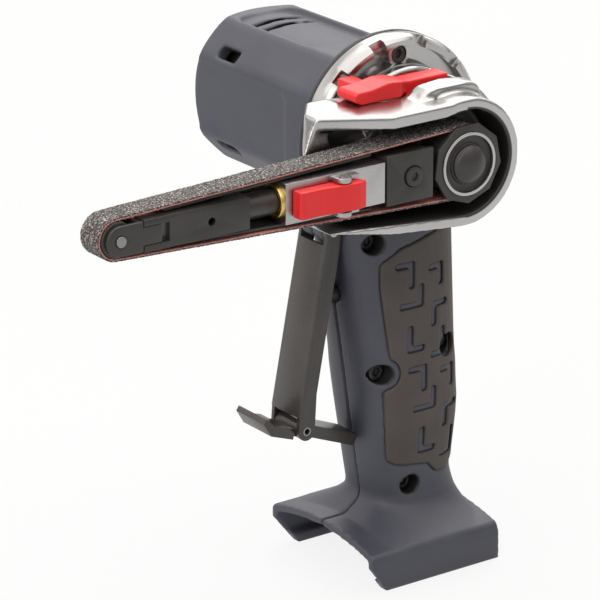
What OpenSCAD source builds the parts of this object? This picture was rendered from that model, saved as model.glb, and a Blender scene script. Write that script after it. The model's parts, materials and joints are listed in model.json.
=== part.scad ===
// Cordless belt file: pistol grip with a battery foot, transverse motor barrel, planetary gear
// and a swivelling belt head with a sprung arm.
// Frame: +X along the arm, +Y towards the belt side, +Z up. The origin lies on the surface that
// the foot stands on, under the motor axis, in the plane where the handle splits.

/* [Layout] */
// Height of the motor axis above the sole of the foot
axis_h = 148; // [144:1:154]
// Distance from the drive wheel's axis to the idler's
wheel_base = 129.6; // [127:0.2:134]
// Gap between pieces that move past each other
part_gap = 0.3; // [0.25:0.05:0.4]
// Radial running gap round shafts and pins
run_gap = 0.05; // [0.03:0.01:0.08]
// Gap left at moulded seams
seam_gap = 0.1; // [0.05:0.05:0.2]

/* [Handle] */
// Wall of the moulded shells
shell_wall = 2.4; // [2:0.1:3]
// Width of the grip at its swell
grip_w = 35; // [33:0.5:38]
// Depth of the grip at its swell
grip_depth = 38.5; // [37:0.5:42]
// Depth of the grip just above the foot
neck_depth = 32; // [31:0.5:35]
// Width of the grip just above the foot
neck_w = 30.6; // [29:0.2:33]
// Depth of the grip under the motor
top_depth = 45.5; // [44:0.5:48]
// Forward lean of the grip's front, per unit of height
grip_rake = 0.152; // [0.12:0.004:0.18]
// Forward reach of the grip's front at the neck
neck_front = 9.2; // [8:0.2:10]
// Width of the battery foot
foot_w = 57; // [55:0.5:60]
// Forward reach of the foot
foot_front = 24.6; // [23:0.2:27]
// Rearward reach of the foot
foot_back = 27.2; // [26:0.2:30]
// Height of the foot's side walls
foot_wall_h = 14.3; // [13.3:0.1:15.5]
// Rise of the foot's roof over its side walls
foot_crown = 3.8; // [3:0.2:5]
// Width of the battery channel between its rails
channel_w = 45; // [43:0.5:47]
// Height of the battery rails
rail_h = 4; // [3:0.2:5]
// Thickness of the rubber pad under the grip's surface
pad_t = 1.2; // [0.8:0.1:1.5]
// How far the rubber stands proud
pad_proud = 0.4; // [0.2:0.1:0.6]

/* [Barrel and motor] */
// Length of the motor barrel behind the seal
barrel_len = 75; // [73:1:82]
// Half width across the barrel's broad flats
barrel_half = 24.6; // [24.4:0.1:25.4]
// Half width across the barrel's narrow flats
barrel_corner = 27.2; // [26.8:0.1:27.8]
// Radius of the flange where barrel and gear case meet
flange_r = 33; // [32:0.2:34]
// Thickness of the seal ring
seal_t = 1.2; // [1:0.1:1.6]
// Radius of the motor can
motor_r = 20; // [19:0.2:20.6]
// Length in the barrel that is left beside the motor can for the gear end, brushes and fan
motor_room = 23; // [23:0.5:26]
// Radius of the motor shaft
shaft_r = 2.5; // [2:0.1:3]

/* [Gear] */
// Gear module
gear_m = 0.75; // [0.7:0.01:0.78]
// Teeth on the sun and on each planet
sun_n = 15; // [15:15]
// Backlash taken off each tooth
backlash = 0.12; // [0.08:0.02:0.16]
// Face width of the gears
gear_w = 8.4; // [7.5:0.1:9]
// Radius of the planets' pins
planet_pin_r = 2; // [1.6:0.1:2.2]
// Radius of the output spindle
spindle_r = 5; // [4.6:0.1:5.4]
// Thickness of the gear case flange
flange_t = 7.4; // [7:0.1:8]
// Radius of the spigot that the head swivels on
spigot_r = 17; // [16.6:0.1:17.4]
// Length of the swivel spigot
spigot_len = 12.4; // [12:0.1:13]

/* [Belt] */
// Width of the abrasive belt
belt_w = 9.5; // [9:0.1:10]
// Thickness of the abrasive belt
belt_t = 1; // [0.8:0.1:1.2]
// Inner radius of the belt round the drive wheel
drive_r = 11.2; // [10.8:0.1:11.6]
// Inner radius of the belt round the idler
idler_r = 5.9; // [5.6:0.1:6.3]

/* [Head] */
// Length of the swivel collar
collar_len = 13.1; // [12.8:0.1:14]
// Thickness of the head's back plate
plate_t = 8; // [7:0.2:9]
// Depth of the belt guard in front of the back plate
rim_depth = 13; // [12.6:0.1:14]
// Outer radius of the belt guard
guard_r = 21; // [20.6:0.1:22]
// Wall of the belt guard
guard_wall = 4; // [3.6:0.1:4.4]
// Height of the deck over the axis
deck_z = 20; // [19.6:0.1:21]
// Forward reach of the deck
deck_x = 49; // [47:0.5:52]
// Forward reach of the guard's lower lip
lip_x = 54; // [52:0.5:57]

/* [Arm] */
// Half height of the steel bracket
bracket_half = 6.5; // [6.2:0.1:6.8]
// Rear end of the steel bracket
bracket_x0 = 32.8; // [32.6:0.1:34]
// Front end of the steel bracket
bracket_x1 = 70.3; // [69:0.1:72]
// Sheet of the steel bracket
sheet_t = 1.4; // [1.2:0.1:1.6]
// Radius of the sliding rod
rod_r = 4; // [3.6:0.1:4.2]
// Half height of the flat bar
bar_half = 5; // [4.6:0.1:5.1]
// Radius of the idler pin
idler_pin_r = 1.75; // [1.5:0.05:2]
// Slack that the arm can be drawn back by
tension_travel = 6; // [4:0.5:6]

/* [Levers] */
// Length of the paddle from its pivot to its lower pin
paddle_len = 66.6; // [64:0.2:69]
// Width of the paddle
paddle_w = 15.6; // [14:0.2:16]
// Wall of the paddle
paddle_wall = 1.6; // [1.4:0.1:1.8]
// Lean of the paddle from upright, in degrees
paddle_lean = 10.74; // [9:0.1:12]
// Radius of the paddle's pins
lever_pin_r = 1.5; // [1.3:0.1:1.7]
// Radius of the switch plunger
plunger_r = 3.2; // [2.8:0.1:3.6]

/* [Hidden] */
$fn = 64;
eps = 0.01;

// Places along the motor axis, from the seal forwards
case_y0 = seal_t / 2;
case_y1 = case_y0 + flange_t;
hub_y = case_y1 + 0.6;
spigot_y = hub_y + spigot_len;
collar_y0 = hub_y + part_gap;
plate_y0 = collar_y0 + collar_len;
plate_y1 = plate_y0 + plate_t;
rim_y = plate_y1 + rim_depth;
belt_y0 = plate_y1 + 2.3;
belt_y1 = belt_y0 + belt_w;
wheel_y0 = plate_y1 + 0.6;
wheel_y1 = belt_y1 + 0.5;
face_y = wheel_y1 + 1.5;

// Places along the motor axis, from the seal backwards
barrel_y0 = -seal_t / 2 - barrel_len;
motor_len = barrel_len - motor_room;
can_y1 = -9;
can_y0 = can_y1 - motor_len;
bell_y0 = can_y0 - 4;
bell_plug_y = can_y0 + 6;
bore_r = 22.4;

// Gears: the sun drives three planets of the same size inside a ring of three times the teeth
pressure = 25;
ring_n = 3 * sun_n;
sun_rp = gear_m * sun_n / 2;
ring_rp = gear_m * ring_n / 2;
orbit_r = 2 * sun_rp;
addendum = 0.85 * gear_m;
dedendum = 1.2 * gear_m;
ring_gear_r = ring_rp + dedendum + 1.5;
gear_y0 = -3.8;
gear_y1 = gear_y0 + gear_w;
carrier_y0 = gear_y1 + 0.6;
carrier_t = 3;
bearing_r = 11;
bearing_w = 5;

// Belt run: tangents between the drive and idler circles
run_sin = (drive_r - idler_r) / wheel_base;
run_cos = sqrt(1 - run_sin * run_sin);
function run_z(x, r) = (r - x * run_sin) / run_cos;

// Handle: the grip's sections follow these from the foot's roof to the motor
neck_z = foot_wall_h + 9.7;
swell_z = neck_z + 38;
top_z = axis_h - 26;
function smooth(t) = t <= 0 ? 0 : t >= 1 ? 1 : t * t * (3 - 2 * t);
function mix(a, b, t) = a + (b - a) * t;
function grip_front(z) = neck_front + grip_rake * (z - neck_z);
function grip_deep(z) = z < swell_z
  ? mix(neck_depth, grip_depth, smooth((z - neck_z) / (swell_z - neck_z)))
  : mix(grip_depth, top_depth, (z - swell_z) / (top_z - swell_z));
function grip_square(z) = mix(2.8, 2.6, smooth((z - swell_z - 6) / 9));
function grip_half(z) = mix(neck_w, grip_w, smooth((z - neck_z) / (swell_z - neck_z))) / 2;

// The grip flares into the foot's roof: share of the foot's overhang that is left at a height,
// from the rise over the foot's walls and the power that it falls off with
front_flare = [10.2, 1.5];
side_flare = [10.5, 1.9];
back_flare = [17, 1.05];
flare_reach = 0.96;
function flare(z, f) = z >= foot_wall_h + f[0] ? 0 : flare_reach * pow(1 - (z - foot_wall_h) / f[0], f[1]);

// Sections as [height, front, back, half width, squareness]
function section(z) = let (side = flare(z, side_flare)) [z,
  mix(grip_front(z), foot_front, flare(z, front_flare)),
  mix(grip_front(z) - grip_deep(z), -foot_back, flare(z, back_flare)),
  mix(grip_half(z), foot_w / 2, side), mix(grip_square(z), 5, side)];
flare_rise = [0, 1.4, 2.6, 3.8, 5.2, 7, 9, 11.5, 14.5];
grip_steps = 16;
sections = concat([for (r = flare_rise) section(foot_wall_h + r)],
  [for (i = [0:grip_steps]) section(mix(foot_wall_h + back_flare[0], top_z + 8, i / grip_steps))]);

// Half of a section's outline, from the front seam round to the back seam
ring_steps = 20;
function bent(v, n) = sign(v) * pow(abs(v), 2 / n);
function half_ring(s, grow) = [for (i = [0:ring_steps]) let (t = 180 * i / ring_steps)
  [(s[1] + s[2]) / 2 + ((s[1] - s[2]) / 2 + grow) * bent(cos(t), s[4]),
    i == 0 || i == ring_steps ? 0 : (s[3] + grow) * bent(sin(t), s[4]), s[0]]];

// Closed solid through rings that have the same number of points
module loft(rings) {
  n = len(rings[0]);
  m = len(rings);
  sides = [for (r = [0:m - 2], i = [0:n - 1], k = [0, 1]) let (a = r * n, b = a + n, j = (i + 1) % n)
    k == 0 ? [a + i, b + i, b + j] : [a + i, b + j, a + j]];
  caps = [[for (i = [0:n - 1]) i], [for (i = [0:n - 1]) m * n - 1 - i]];
  polyhedron([for (r = rings) each r], concat(sides, caps));
}

// Positioning and plain shapes
module box(x, y, z) {
  translate([x[0], y[0], z[0]]) cube([x[1] - x[0], y[1] - y[0], z[1] - z[0]]);
}
module y_rod(r, y0, y1, x = 0, z = axis_h) {
  translate([x, y0, z]) rotate([-90, 0, 0]) cylinder(r = r, h = y1 - y0);
}
module x_rod(r, x0, x1, y, z = axis_h) {
  translate([x0, y, z]) rotate([0, 90, 0]) cylinder(r = r, h = x1 - x0);
}
module z_rod(r, z0, z1, x, y) {
  translate([x, y, z0]) cylinder(r = r, h = z1 - z0);
}
// Extrudes a profile drawn in x and height over the motor axis, from y0 to y1
module y_slab(y0, y1) {
  translate([0, y1, axis_h]) rotate([90, 0, 0]) linear_extrude(y1 - y0) children();
}
// Turns a profile drawn in radius and y about the motor axis
module y_turn() {
  translate([0, 0, axis_h]) rotate([-90, 0, 0]) rotate_extrude() children();
}
module y_tube(r1, r0, y0, y1) {
  difference() {
    y_rod(r1, y0, y1);
    y_rod(r0, y0 - 1, y1 + 1);
  }
}
// Evenly spaced copies round the motor axis
module round_axis(n, turn = 0) {
  for (i = [0:n - 1])
    translate([0, 0, axis_h]) rotate([0, turn + 360 * i / n, 0]) translate([0, 0, -axis_h]) children();
}

// Involute gear outline, with the tooth's half angle at any radius
function inv_deg(a) = tan(a) * 180 / PI - a;
function tooth_half(r, rp, n, thin) = let (rb = rp * cos(pressure), a = r > rb ? acos(rb / r) : 0)
  90 / n - thin / 2 / rp * 180 / PI + inv_deg(pressure) - inv_deg(a);
function tooth(c, rp, n, thin, radii) = concat(
  [for (r = radii) let (a = c - tooth_half(r, rp, n, thin)) r * [cos(a), sin(a)]],
  [for (k = [len(radii) - 1:-1:0]) let (r = radii[k], a = c + tooth_half(r, rp, n, thin))
    r * [cos(a), sin(a)]]);
function gear_outline(rp, n, thin, radii) = [for (i = [0:n - 1])
  each tooth(360 * i / n, rp, n, thin, radii)];
spur_radii = [sun_rp - dedendum, sun_rp * cos(pressure), sun_rp, sun_rp + addendum];
ring_radii = [ring_rp - addendum, ring_rp, ring_rp + dedendum];

// Half of the grip's outer form, and the space inside it
module grip_form(grow) {
  loft([for (s = sections) half_ring(s, grow)]);
}
module grip_space() {
  inner = [for (s = sections) if (s[0] > foot_wall_h + 8) half_ring(s, -shell_wall)];
  loft([for (r = inner) concat([[r[0][0], -1, r[0][2]]], r, [[r[ring_steps][0], -1, r[0][2]]])]);
}

// Half of the foot: an arched saddle with square ends that draws in towards its sole, by
// [front, back, side], from a bend below the edge of its roof
foot_draw = [7.2, -2.4, 1.8];
wall_bend_z = foot_wall_h - 4.7;
foot_wall_t = 2.9;
arch_steps = 6;
function foot_arch(half, low) = [for (i = [0:arch_steps]) let (t = 1 - i / arch_steps)
  [half * t, low + foot_crown * (1 - t * t)]];
module x_slab(x0, x1) {
  translate([x0, 0, 0]) rotate([90, 0, 90]) linear_extrude(x1 - x0) children();
}
module foot_form() {
  half = foot_w / 2;
  roof = foot_wall_h + foot_crown + 1;
  intersection() {
    x_slab(-foot_back - 5, foot_front + 1) polygon(concat([[0, 0], [half - foot_draw[2], 0],
      [half, wall_bend_z], [half, foot_wall_h - 1.4]], foot_arch(half - 0.9, foot_wall_h)));
    translate([0, foot_w, 0]) rotate([90, 0, 0]) linear_extrude(foot_w)
      polygon([[foot_draw[1] - foot_back, 0], [foot_front - foot_draw[0], 0], [foot_front, wall_bend_z],
        [foot_front, roof], [-foot_back, roof], [-foot_back, foot_wall_h]]);
  }
}

// Outline of the rubber pad on the side of the grip, in x and z
pad_top = top_z - 6;
pad_low = neck_z + 13;
screw_mid = [grip_front(axis_h - 77.6) - 5.6, axis_h - 77.6];
module pad_outline(inset) {
  offset(r = -inset) offset(r = 2) offset(r = -2) difference() {
    polygon([[-70, pad_top + 8], [-9, pad_top + 1], [6, pad_top - 2.5], [13, pad_top - 7],
      [12.6, pad_top - 16], [8.4, pad_top - 42], [10.6, pad_top - 50], [7.6, pad_low + 2],
      [5.2, pad_low + 0.5], [-6.6, pad_low - 0.8], [-11, pad_low - 5], [-15, pad_low - 5],
      [-20, pad_low - 2], [-70, pad_low - 6]]);
    translate(screw_mid) circle(5.6);
  }
}
module pad_prism(inset) {
  translate([0, 40, 0]) rotate([90, 0, 0]) linear_extrude(39.5) pad_outline(inset);
}

// Screws that close the handle, as [x, z]
screw_top = [grip_front(top_z - 6) - 8.4, top_z - 6];
screw_low = [grip_front(neck_z + 5.5) - 10.7, neck_z + 5.5];
screw_back = [-14.6, axis_h - 72];
handle_screw_at = [screw_top, screw_mid, screw_low, screw_back];
screw_r = 1.5;
screw_head_r = 2.9;
boss_r = 4.4;
screw_seat_y = 8.6;
screw_len = 12;

// Paddle pivot, lower pin and plunger
pivot = [25.5, axis_h - 27.7];
paddle_front = 2.7;
paddle_back = -3.3;
roll_pin_x = -1.75;
roll_pin = pivot + [roll_pin_x * cos(paddle_lean) + paddle_len * sin(paddle_lean),
  roll_pin_x * sin(paddle_lean) - paddle_len * cos(paddle_lean)];
lug_half = paddle_w / 2 - paddle_wall - part_gap;
lug_r = 3.6;
paddle_swing = 6;
plunger_z = axis_h - 51;
plunger_tip = pivot[0] + (pivot[1] - plunger_z) * tan(paddle_lean)
  + (paddle_front - paddle_wall) / cos(paddle_lean) - 0.5;
switch_x = [-16, 9];
switch_z = [plunger_z - 12, plunger_z + 9];
switch_half = 7;
board_z = [neck_z + 14.6, screw_back[1] - boss_r - 1];
board_x = [-18, 3];
board_t = 1.6;
block_x = [-17, 3];
block_half = 10;
contact_x = [block_x[0] + 1, block_x[1] - 3];
block_z = [foot_wall_h - 1.2, neck_z - 2];

// Shell shared by both handle halves, drawn on the belt side
module handle_half() {
  difference() {
    union() {
      difference() {
        union() {
          grip_form(-pad_t);
          difference() {
            grip_form(0);
            pad_prism(0);
          }
          foot_form();
          intersection() {
            grip_form(-window_t);
            chevrons(seam_gap);
          }
        }
        grip_space();
      }
      intersection() {
        grip_form(-pad_t - 0.4);
        handle_supports();
      }
      y_rod(lug_r, 0, lug_half, pivot[0], pivot[1]);
      box([grip_front(pivot[1]) - 4, pivot[0]], [0, lug_half], [pivot[1] - lug_r, pivot[1] + 2.6]);
    }
    battery_channel();
    paddle_slots();
    y_rod(lever_pin_r, -1, lug_half + 1, pivot[0], pivot[1]);
    x_rod(plunger_r + run_gap, switch_x[1] - 1, 60, 0, plunger_z);
    box(block_x, [-1, block_half], block_z + [-5, 0]);
    box([-80, 80], [-40, seam_gap / 2], [-10, axis_h]);
  }
}
// Screw bosses, and ribs that hold the switch and the board
module handle_supports() {
  for (p = handle_screw_at)
    y_rod(boss_r, 0, 30, p[0], p[1]);
  for (z = [switch_z[0] + 3, switch_z[1] - 3])
    box([switch_x[0] + 4, switch_x[0] + 14], [switch_half, 30], [z - 1, z + 1]);
  for (x = [board_x[0] + 3, board_x[1] - 5])
    box([x, x + 2], [board_t / 2, 30], [mix(board_z[0], board_z[1], 0.2), mix(board_z[0], board_z[1], 0.8)]);
}
// Room beside the lug for the paddle's cheeks, at rest and squeezed
module paddle_slots() {
  for (a = [0, paddle_swing])
    translate([pivot[0], 0, pivot[1]]) rotate([0, a - paddle_lean, 0]) {
      y_rod(-paddle_back + part_gap, lug_half, paddle_w / 2 + part_gap, 0, 0);
      box([paddle_back - part_gap, 12], [lug_half, paddle_w / 2 + part_gap], [-24, 0]);
    }
}
// Space under the foot that the battery slides into, over its rails and up to a stop at the back
stop_z = 7;
stop_t = 4;
module battery_channel() {
  groove = foot_w / 2 - foot_wall_t;
  x_slab(-foot_back - 5, foot_front + 1)
    polygon([[-1, -1], [channel_w / 2, -1], [channel_w / 2, rail_h], [groove, rail_h], [groove, stop_z],
      [-1, stop_z]]);
  x_slab(-foot_back + stop_t, foot_front + 1) polygon(concat([[-1, rail_h], [groove, rail_h]],
    foot_arch(groove, foot_wall_h - shell_wall), [[-1, foot_wall_h - shell_wall + foot_crown]]));
}
// Room for the barrel, the gear case and the swivelling head
module motor_clearance() {
  y_rod(flange_r + seam_gap, -8, case_y1 + part_gap);
  y_rod(collar_r + part_gap, -1, 60);
}

module front_handle_half() {
  color([0.3, 0.31, 0.35]) difference() {
    handle_half();
    motor_clearance();
    for (p = handle_screw_at) {
      y_rod(screw_r, -1, 30, p[0], p[1]);
      y_rod(screw_head_r + 0.4, screw_seat_y, 40, p[0], p[1]);
    }
  }
}
module rear_handle_half() {
  color([0.3, 0.31, 0.35]) difference() {
    mirror([0, 1, 0]) handle_half();
    barrel_form(seam_gap);
    y_rod(flange_r + seam_gap, barrel_y1 - 1, 2);
    for (p = handle_screw_at)
      y_rod(screw_r, screw_seat_y - screw_len - 1, 1, p[0], p[1]);
  }
}

// Rubber pads with chevron windows that the moulding fills, each window being
// [behind the grip's front, below the pad's top, width, height, upright's side, bar's side]
window_t = 0.3;
chevron_w = 2.3;
chevron_pitch = 36.5;
chevron_set = [[17.2, 12.2, 7.6, 9.4, -1, 1], [19, 19.8, 9.4, 8, -1, -1], [18.6, 34.4, 7, 9.6, 1, -1],
  [29.6, 14, 7, 8, -1, 1], [29.4, 27.4, 7.4, 8.6, 1, 1], [27.2, 37.6, 6.6, 10, -1, -1]];
module chevrons(inset) {
  for (g = [0, 1], c = chevron_set) {
    z = pad_top - c[1] - g * chevron_pitch;
    x = grip_front(z) - c[0];
    xs = x + c[4] * (c[2] - chevron_w) / 2;
    zs = z + c[5] * (c[3] - chevron_w) / 2;
    box([xs - chevron_w / 2 + inset, xs + chevron_w / 2 - inset], [1, 40],
      [z - c[3] / 2 + inset, z + c[3] / 2 - inset]);
    box([x - c[2] / 2 + inset, x + c[2] / 2 - inset], [1, 40],
      [zs - chevron_w / 2 + inset, zs + chevron_w / 2 - inset]);
  }
}
module grip_pad() {
  difference() {
    intersection() {
      grip_form(pad_proud);
      pad_prism(seam_gap);
    }
    grip_form(-pad_t);
    chevrons(0);
    for (p = handle_screw_at)
      y_rod(screw_head_r + 1.2, 0, 40, p[0], p[1]);
    box([-80, 80], [-40, seam_gap / 2], [-10, axis_h]);
    motor_clearance();
  }
}
module front_grip_pad() {
  color([0.24, 0.22, 0.21]) grip_pad();
}
module rear_grip_pad() {
  color([0.24, 0.22, 0.21]) difference() {
    mirror([0, 1, 0]) grip_pad();
    y_rod(flange_r + seam_gap, -60, 1);
  }
}

// Octagonal barrel that flares to the flange, with vents near its closed rear end
collar_r = 24;
flare_len = 12;
flare_steps = 8;
rear_chamfer = 6;
barrel_y1 = -seal_t / 2;
module barrel_form(grow) {
  half = barrel_half + grow;
  corner = barrel_corner + grow;
  flange = flange_r + grow;
  flare = [for (i = [0:flare_steps]) let (a = 90 * i / flare_steps)
    [flange - (flange - half) * sin(a), barrel_y1 - 1.6 - (flare_len - 1.6) * (1 - cos(a))]];
  intersection() {
    box([-half, half], [barrel_y0, barrel_y1], [axis_h - half, axis_h + half]);
    translate([0, barrel_y0, axis_h]) rotate([-90, 0, 0]) rotate([0, 0, 45])
      translate([-corner, -corner, 0]) cube([2 * corner, 2 * corner, barrel_len]);
    y_turn() polygon([[0, barrel_y0], [half - 4.5, barrel_y0], [half - 1, barrel_y0 + 2],
      [corner + 0.6, barrel_y0 + rear_chamfer], [corner + 0.6, barrel_y1], [0, barrel_y1]]);
  }
  y_turn() polygon(concat([[0, barrel_y1], [flange, barrel_y1]], flare, [[0, barrel_y1 - flare_len]]));
}
module motor_barrel() {
  color([0.3, 0.31, 0.35]) difference() {
    barrel_form(0);
    y_rod(bore_r, barrel_y0 + shell_wall, 1);
    barrel_vents();
    barrel_panels();
    round_axis(4) y_rod(screw_r, -14, 1, 27, axis_h);
    lead_passage();
  }
  color([0.3, 0.31, 0.35]) motor_ribs();
}
// Ribs that centre the motor can in the barrel
module motor_ribs() {
  round_axis(6, 15)
    box([motor_r + seam_gap, bore_r + 0.5], [can_y0 + 4, can_y1 - 4], [axis_h - 1, axis_h + 1]);
}
// Slots low on the narrow flats, and two in the recessed panel of the top
vent_angles = [54, 126, 234, 306];
vent_w = 4.2;
vent_y = [barrel_y0 + 14.4, barrel_y0 + 25.2];
slot_y = [barrel_y0 + 15.2, barrel_y0 + 21.4];
slot_w = 2.2;
slot_half = 10;
module barrel_vents() {
  for (a = vent_angles)
    translate([0, 0, axis_h]) rotate([0, a, 0])
      box([-vent_w / 2, vent_w / 2], vent_y, [bore_r - 2, bore_r + 20]);
  for (y = slot_y)
    box([-slot_half, slot_half], [y, y + slot_w], [axis_h + bore_r - 5, axis_h + bore_r + 10]);
}
// Shallow panels: a crowned one in the top, and a plain one in the side that faces along the arm
panel_half = 12;
panel_y = [barrel_y0 + 9, barrel_y0 + 53];
panel_r = 5;
panel_t = 1;
panel_crown = 60;
side_panel_half = 11.5;
side_panel_y = barrel_y0 + 55;
side_panel_cut = 2;
side_panel_t = 0.6;
module barrel_panels() {
  difference() {
    hull() for (x = [panel_r - panel_half, panel_half - panel_r])
      for (y = [panel_y[0] + panel_r, panel_y[1] - panel_r])
        z_rod(panel_r, axis_h + bore_r - 3, axis_h + bore_r + 20, x, y);
    y_rod(panel_crown, barrel_y0, 0, 0, axis_h + barrel_half - panel_t - panel_crown);
  }
  translate([0, 0, axis_h]) x_slab(barrel_half - side_panel_t, barrel_half + 10)
    polygon([[barrel_y0 - 1, -side_panel_half], [side_panel_y, -side_panel_half],
      [side_panel_y, side_panel_half - side_panel_cut], [side_panel_y - side_panel_cut, side_panel_half],
      [barrel_y0 - 1, side_panel_half]]);
}
// Opening for the motor's leads from the handle
module lead_passage() {
  box([-6, 6], [-20, -12], [axis_h - 40, axis_h - bore_r + 3]);
}
module barrel_seal() {
  color([0.05, 0.05, 0.05]) difference() {
    y_tube(flange_r + 0.15, bore_r, -seal_t / 2, seal_t / 2);
    round_axis(4) y_rod(screw_r + 0.2, -2, 2, 27, axis_h);
  }
}

// Gear case: flange with a screw channel, gear seat inside and the swivel spigot in front
boss_orbit = 27;
notch_angles = [-30, 0, 30, 60, 90];
circlip_y = hub_y + 5.5;
circlip_t = 1.2;
module gear_case() {
  color([0.8, 0.8, 0.82]) difference() {
    union() {
      y_turn() polygon([[ring_gear_r, gear_y0 - 1], [bore_r - seam_gap, gear_y0 - 1],
        [bore_r - seam_gap, case_y0],
        [flange_r, case_y0], [flange_r, case_y1 - 2.4], [flange_r - 0.5, case_y1 - 1],
        [flange_r - 1.6, case_y1], [29.4, case_y1], [29.4, case_y0 + 2.6],
        [collar_r + 0.6, case_y0 + 2.6], [collar_r, hub_y], [spigot_r, hub_y], [spigot_r, spigot_y],
        [bearing_r, spigot_y], [bearing_r, carrier_y0 + carrier_t + 1.8],
          [bearing_r - 2, carrier_y0 + carrier_t + 1.8],
        [bearing_r - 2, carrier_y0 + carrier_t + 0.5], [ring_rp, carrier_y0 + carrier_t + 0.5],
        [ring_rp, gear_y1 + 0.3], [ring_gear_r, gear_y1 + 0.3]]);
      round_axis(4) y_rod(4, case_y0 + 1, case_y1 - 0.6, boss_orbit, axis_h);
    }
    round_axis(4) y_rod(screw_r, -2, 20, boss_orbit, axis_h);
    round_axis(4) y_rod(screw_head_r + seam_gap, case_y0 + 3.4, 20, boss_orbit, axis_h);
    y_tube(spigot_r + 1, spigot_r - 1.2, circlip_y - 0.05, circlip_y + circlip_t + 0.05);
    for (a = notch_angles)
      translate([0, 0, axis_h]) rotate([0, -45 - a, 0])
        box([28, 40], [case_y1 - 2.4, case_y1 + 2], [-2.6, 2.6]);
  }
}
module screw(y_seat, len, head) {
  difference() {
    union() {
      y_rod(screw_head_r, y_seat, y_seat + head, 0, 0);
      y_rod(screw_r, y_seat - len, y_seat, 0, 0);
    }
    translate([0, y_seat + head - 1.2, 0]) rotate([-90, 0, 0]) cylinder(r = 1.5, h = 3, $fn = 6);
  }
}
module case_screws() {
  color([0.1, 0.1, 0.1]) round_axis(4) translate([boss_orbit, 0, axis_h]) screw(case_y0 + 3.4, 12, 3);
}
module handle_screws() {
  color([0.12, 0.12, 0.12]) for (p = handle_screw_at)
    translate([p[0], 0, p[1]]) screw(screw_seat_y, screw_len, 2.4);
}

// Motor: can, end bell with brushes, magnets, bearings, rotor and fan
can_wall = 1.2;
magnet_t = 3;
rotor_r = motor_r - can_wall - magnet_t - 0.6;
motor_bearing_r = 5;
module motor_can() {
  color([0.45, 0.45, 0.47]) difference() {
    union() {
      y_rod(motor_r, can_y0, can_y1);
      y_rod(motor_bearing_r + 1.8, can_y1 - 1, can_y1 + 3);
    }
    y_rod(motor_r - can_wall, can_y0 - 1, can_y1 - 2);
    y_rod(motor_bearing_r, can_y1 - 1, can_y1 + 4);
    y_rod(shaft_r + 1, can_y0, can_y1 + 4);
  }
}
module motor_end_bell() {
  color([0.08, 0.08, 0.09]) difference() {
    union() {
      y_rod(motor_r, bell_y0, can_y0);
      y_rod(motor_r - can_wall, can_y0 - 1, bell_plug_y);
    }
    y_rod(7, can_y0, bell_plug_y + 1);
    y_rod(motor_bearing_r, bell_y0 - 1, bell_y0 + 4);
    y_rod(shaft_r + 1, bell_y0 - 1, can_y0 + 1);
    for (s = [-1, 1])
      box([min(s * 4, s * 15), max(s * 4, s * 15)], [can_y0 + 1, can_y0 + 5], [axis_h - 2, axis_h + 2]);
  }
}
module carbon_brushes() {
  color([0.15, 0.15, 0.16]) for (s = [-1, 1])
    box([min(s * 5.3, s * 14), max(s * 5.3, s * 14)],
      [can_y0 + 1 + seam_gap, can_y0 + 5 - seam_gap], [axis_h - 1.9, axis_h + 1.9]);
}
module field_magnets() {
  color([0.2, 0.2, 0.2]) difference() {
    y_tube(motor_r - can_wall - 0.05, motor_r - can_wall - magnet_t, bell_plug_y + 2, can_y1 - 6);
    box([-40, 40], [-100, 0], [axis_h - 5, axis_h + 5]);
  }
}
module motor_bearings() {
  color([0.7, 0.7, 0.72]) {
    y_tube(motor_bearing_r, shaft_r + run_gap, can_y1 - 1, can_y1 + 3);
    y_tube(motor_bearing_r, shaft_r + run_gap, bell_y0, bell_y0 + 4);
  }
}
fan_y = [bell_y0 - 6, bell_y0 - 1];
module rotor() {
  color([0.5, 0.38, 0.25]) {
    y_rod(shaft_r, fan_y[0], gear_y1);
    difference() {
      y_rod(rotor_r, bell_plug_y + 3, can_y1 - 7);
      for (i = [0:4])
        translate([0, 0, axis_h]) rotate([0, 72 * i, 0])
          box([rotor_r - 5, rotor_r + 2], [can_y0, can_y1], [-1.2, 1.2]);
    }
    y_rod(5, can_y0 + 0.6, bell_plug_y + 3 + eps);
  }
}
module cooling_fan() {
  color([0.1, 0.1, 0.1]) difference() {
    union() {
      y_rod(5, fan_y[0], fan_y[1]);
      y_rod(bore_r - 5, fan_y[1] - 1.4, fan_y[1]);
      round_axis(9) box([4, bore_r - 5], [fan_y[0], fan_y[1]], [axis_h - 0.6, axis_h + 0.6]);
    }
    y_rod(shaft_r, fan_y[0] - 1, fan_y[1] + 1);
  }
}

// Planetary gear
module spur() {
  polygon(gear_outline(sun_rp, sun_n, backlash, spur_radii));
}
module sun_pinion() {
  color([0.55, 0.55, 0.57]) difference() {
    y_slab(gear_y0, gear_y1) spur();
    y_rod(shaft_r, gear_y0 - 1, gear_y1 + 1);
  }
}
module planet_gear(i) {
  a = 120 * i;
  color([0.6, 0.6, 0.55]) difference() {
    y_slab(gear_y0, gear_y1) translate(orbit_r * [cos(a), sin(a)]) rotate(a) spur();
    y_rod(planet_pin_r + run_gap, gear_y0 - 1, gear_y1 + 1, orbit_r * cos(a), axis_h + orbit_r * sin(a));
  }
}
module planet_gear_1() {
  planet_gear(0);
}
module planet_gear_2() {
  planet_gear(1);
}
module planet_gear_3() {
  planet_gear(2);
}
module ring_gear() {
  color([0.5, 0.5, 0.52]) difference() {
    y_rod(ring_gear_r - 0.02, gear_y0, gear_y1 + 0.2);
    y_slab(gear_y0 - 1, gear_y1 + 1) polygon(gear_outline(ring_rp, ring_n, -backlash, ring_radii));
  }
}
spindle_y1 = face_y - 0.4;
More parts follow.
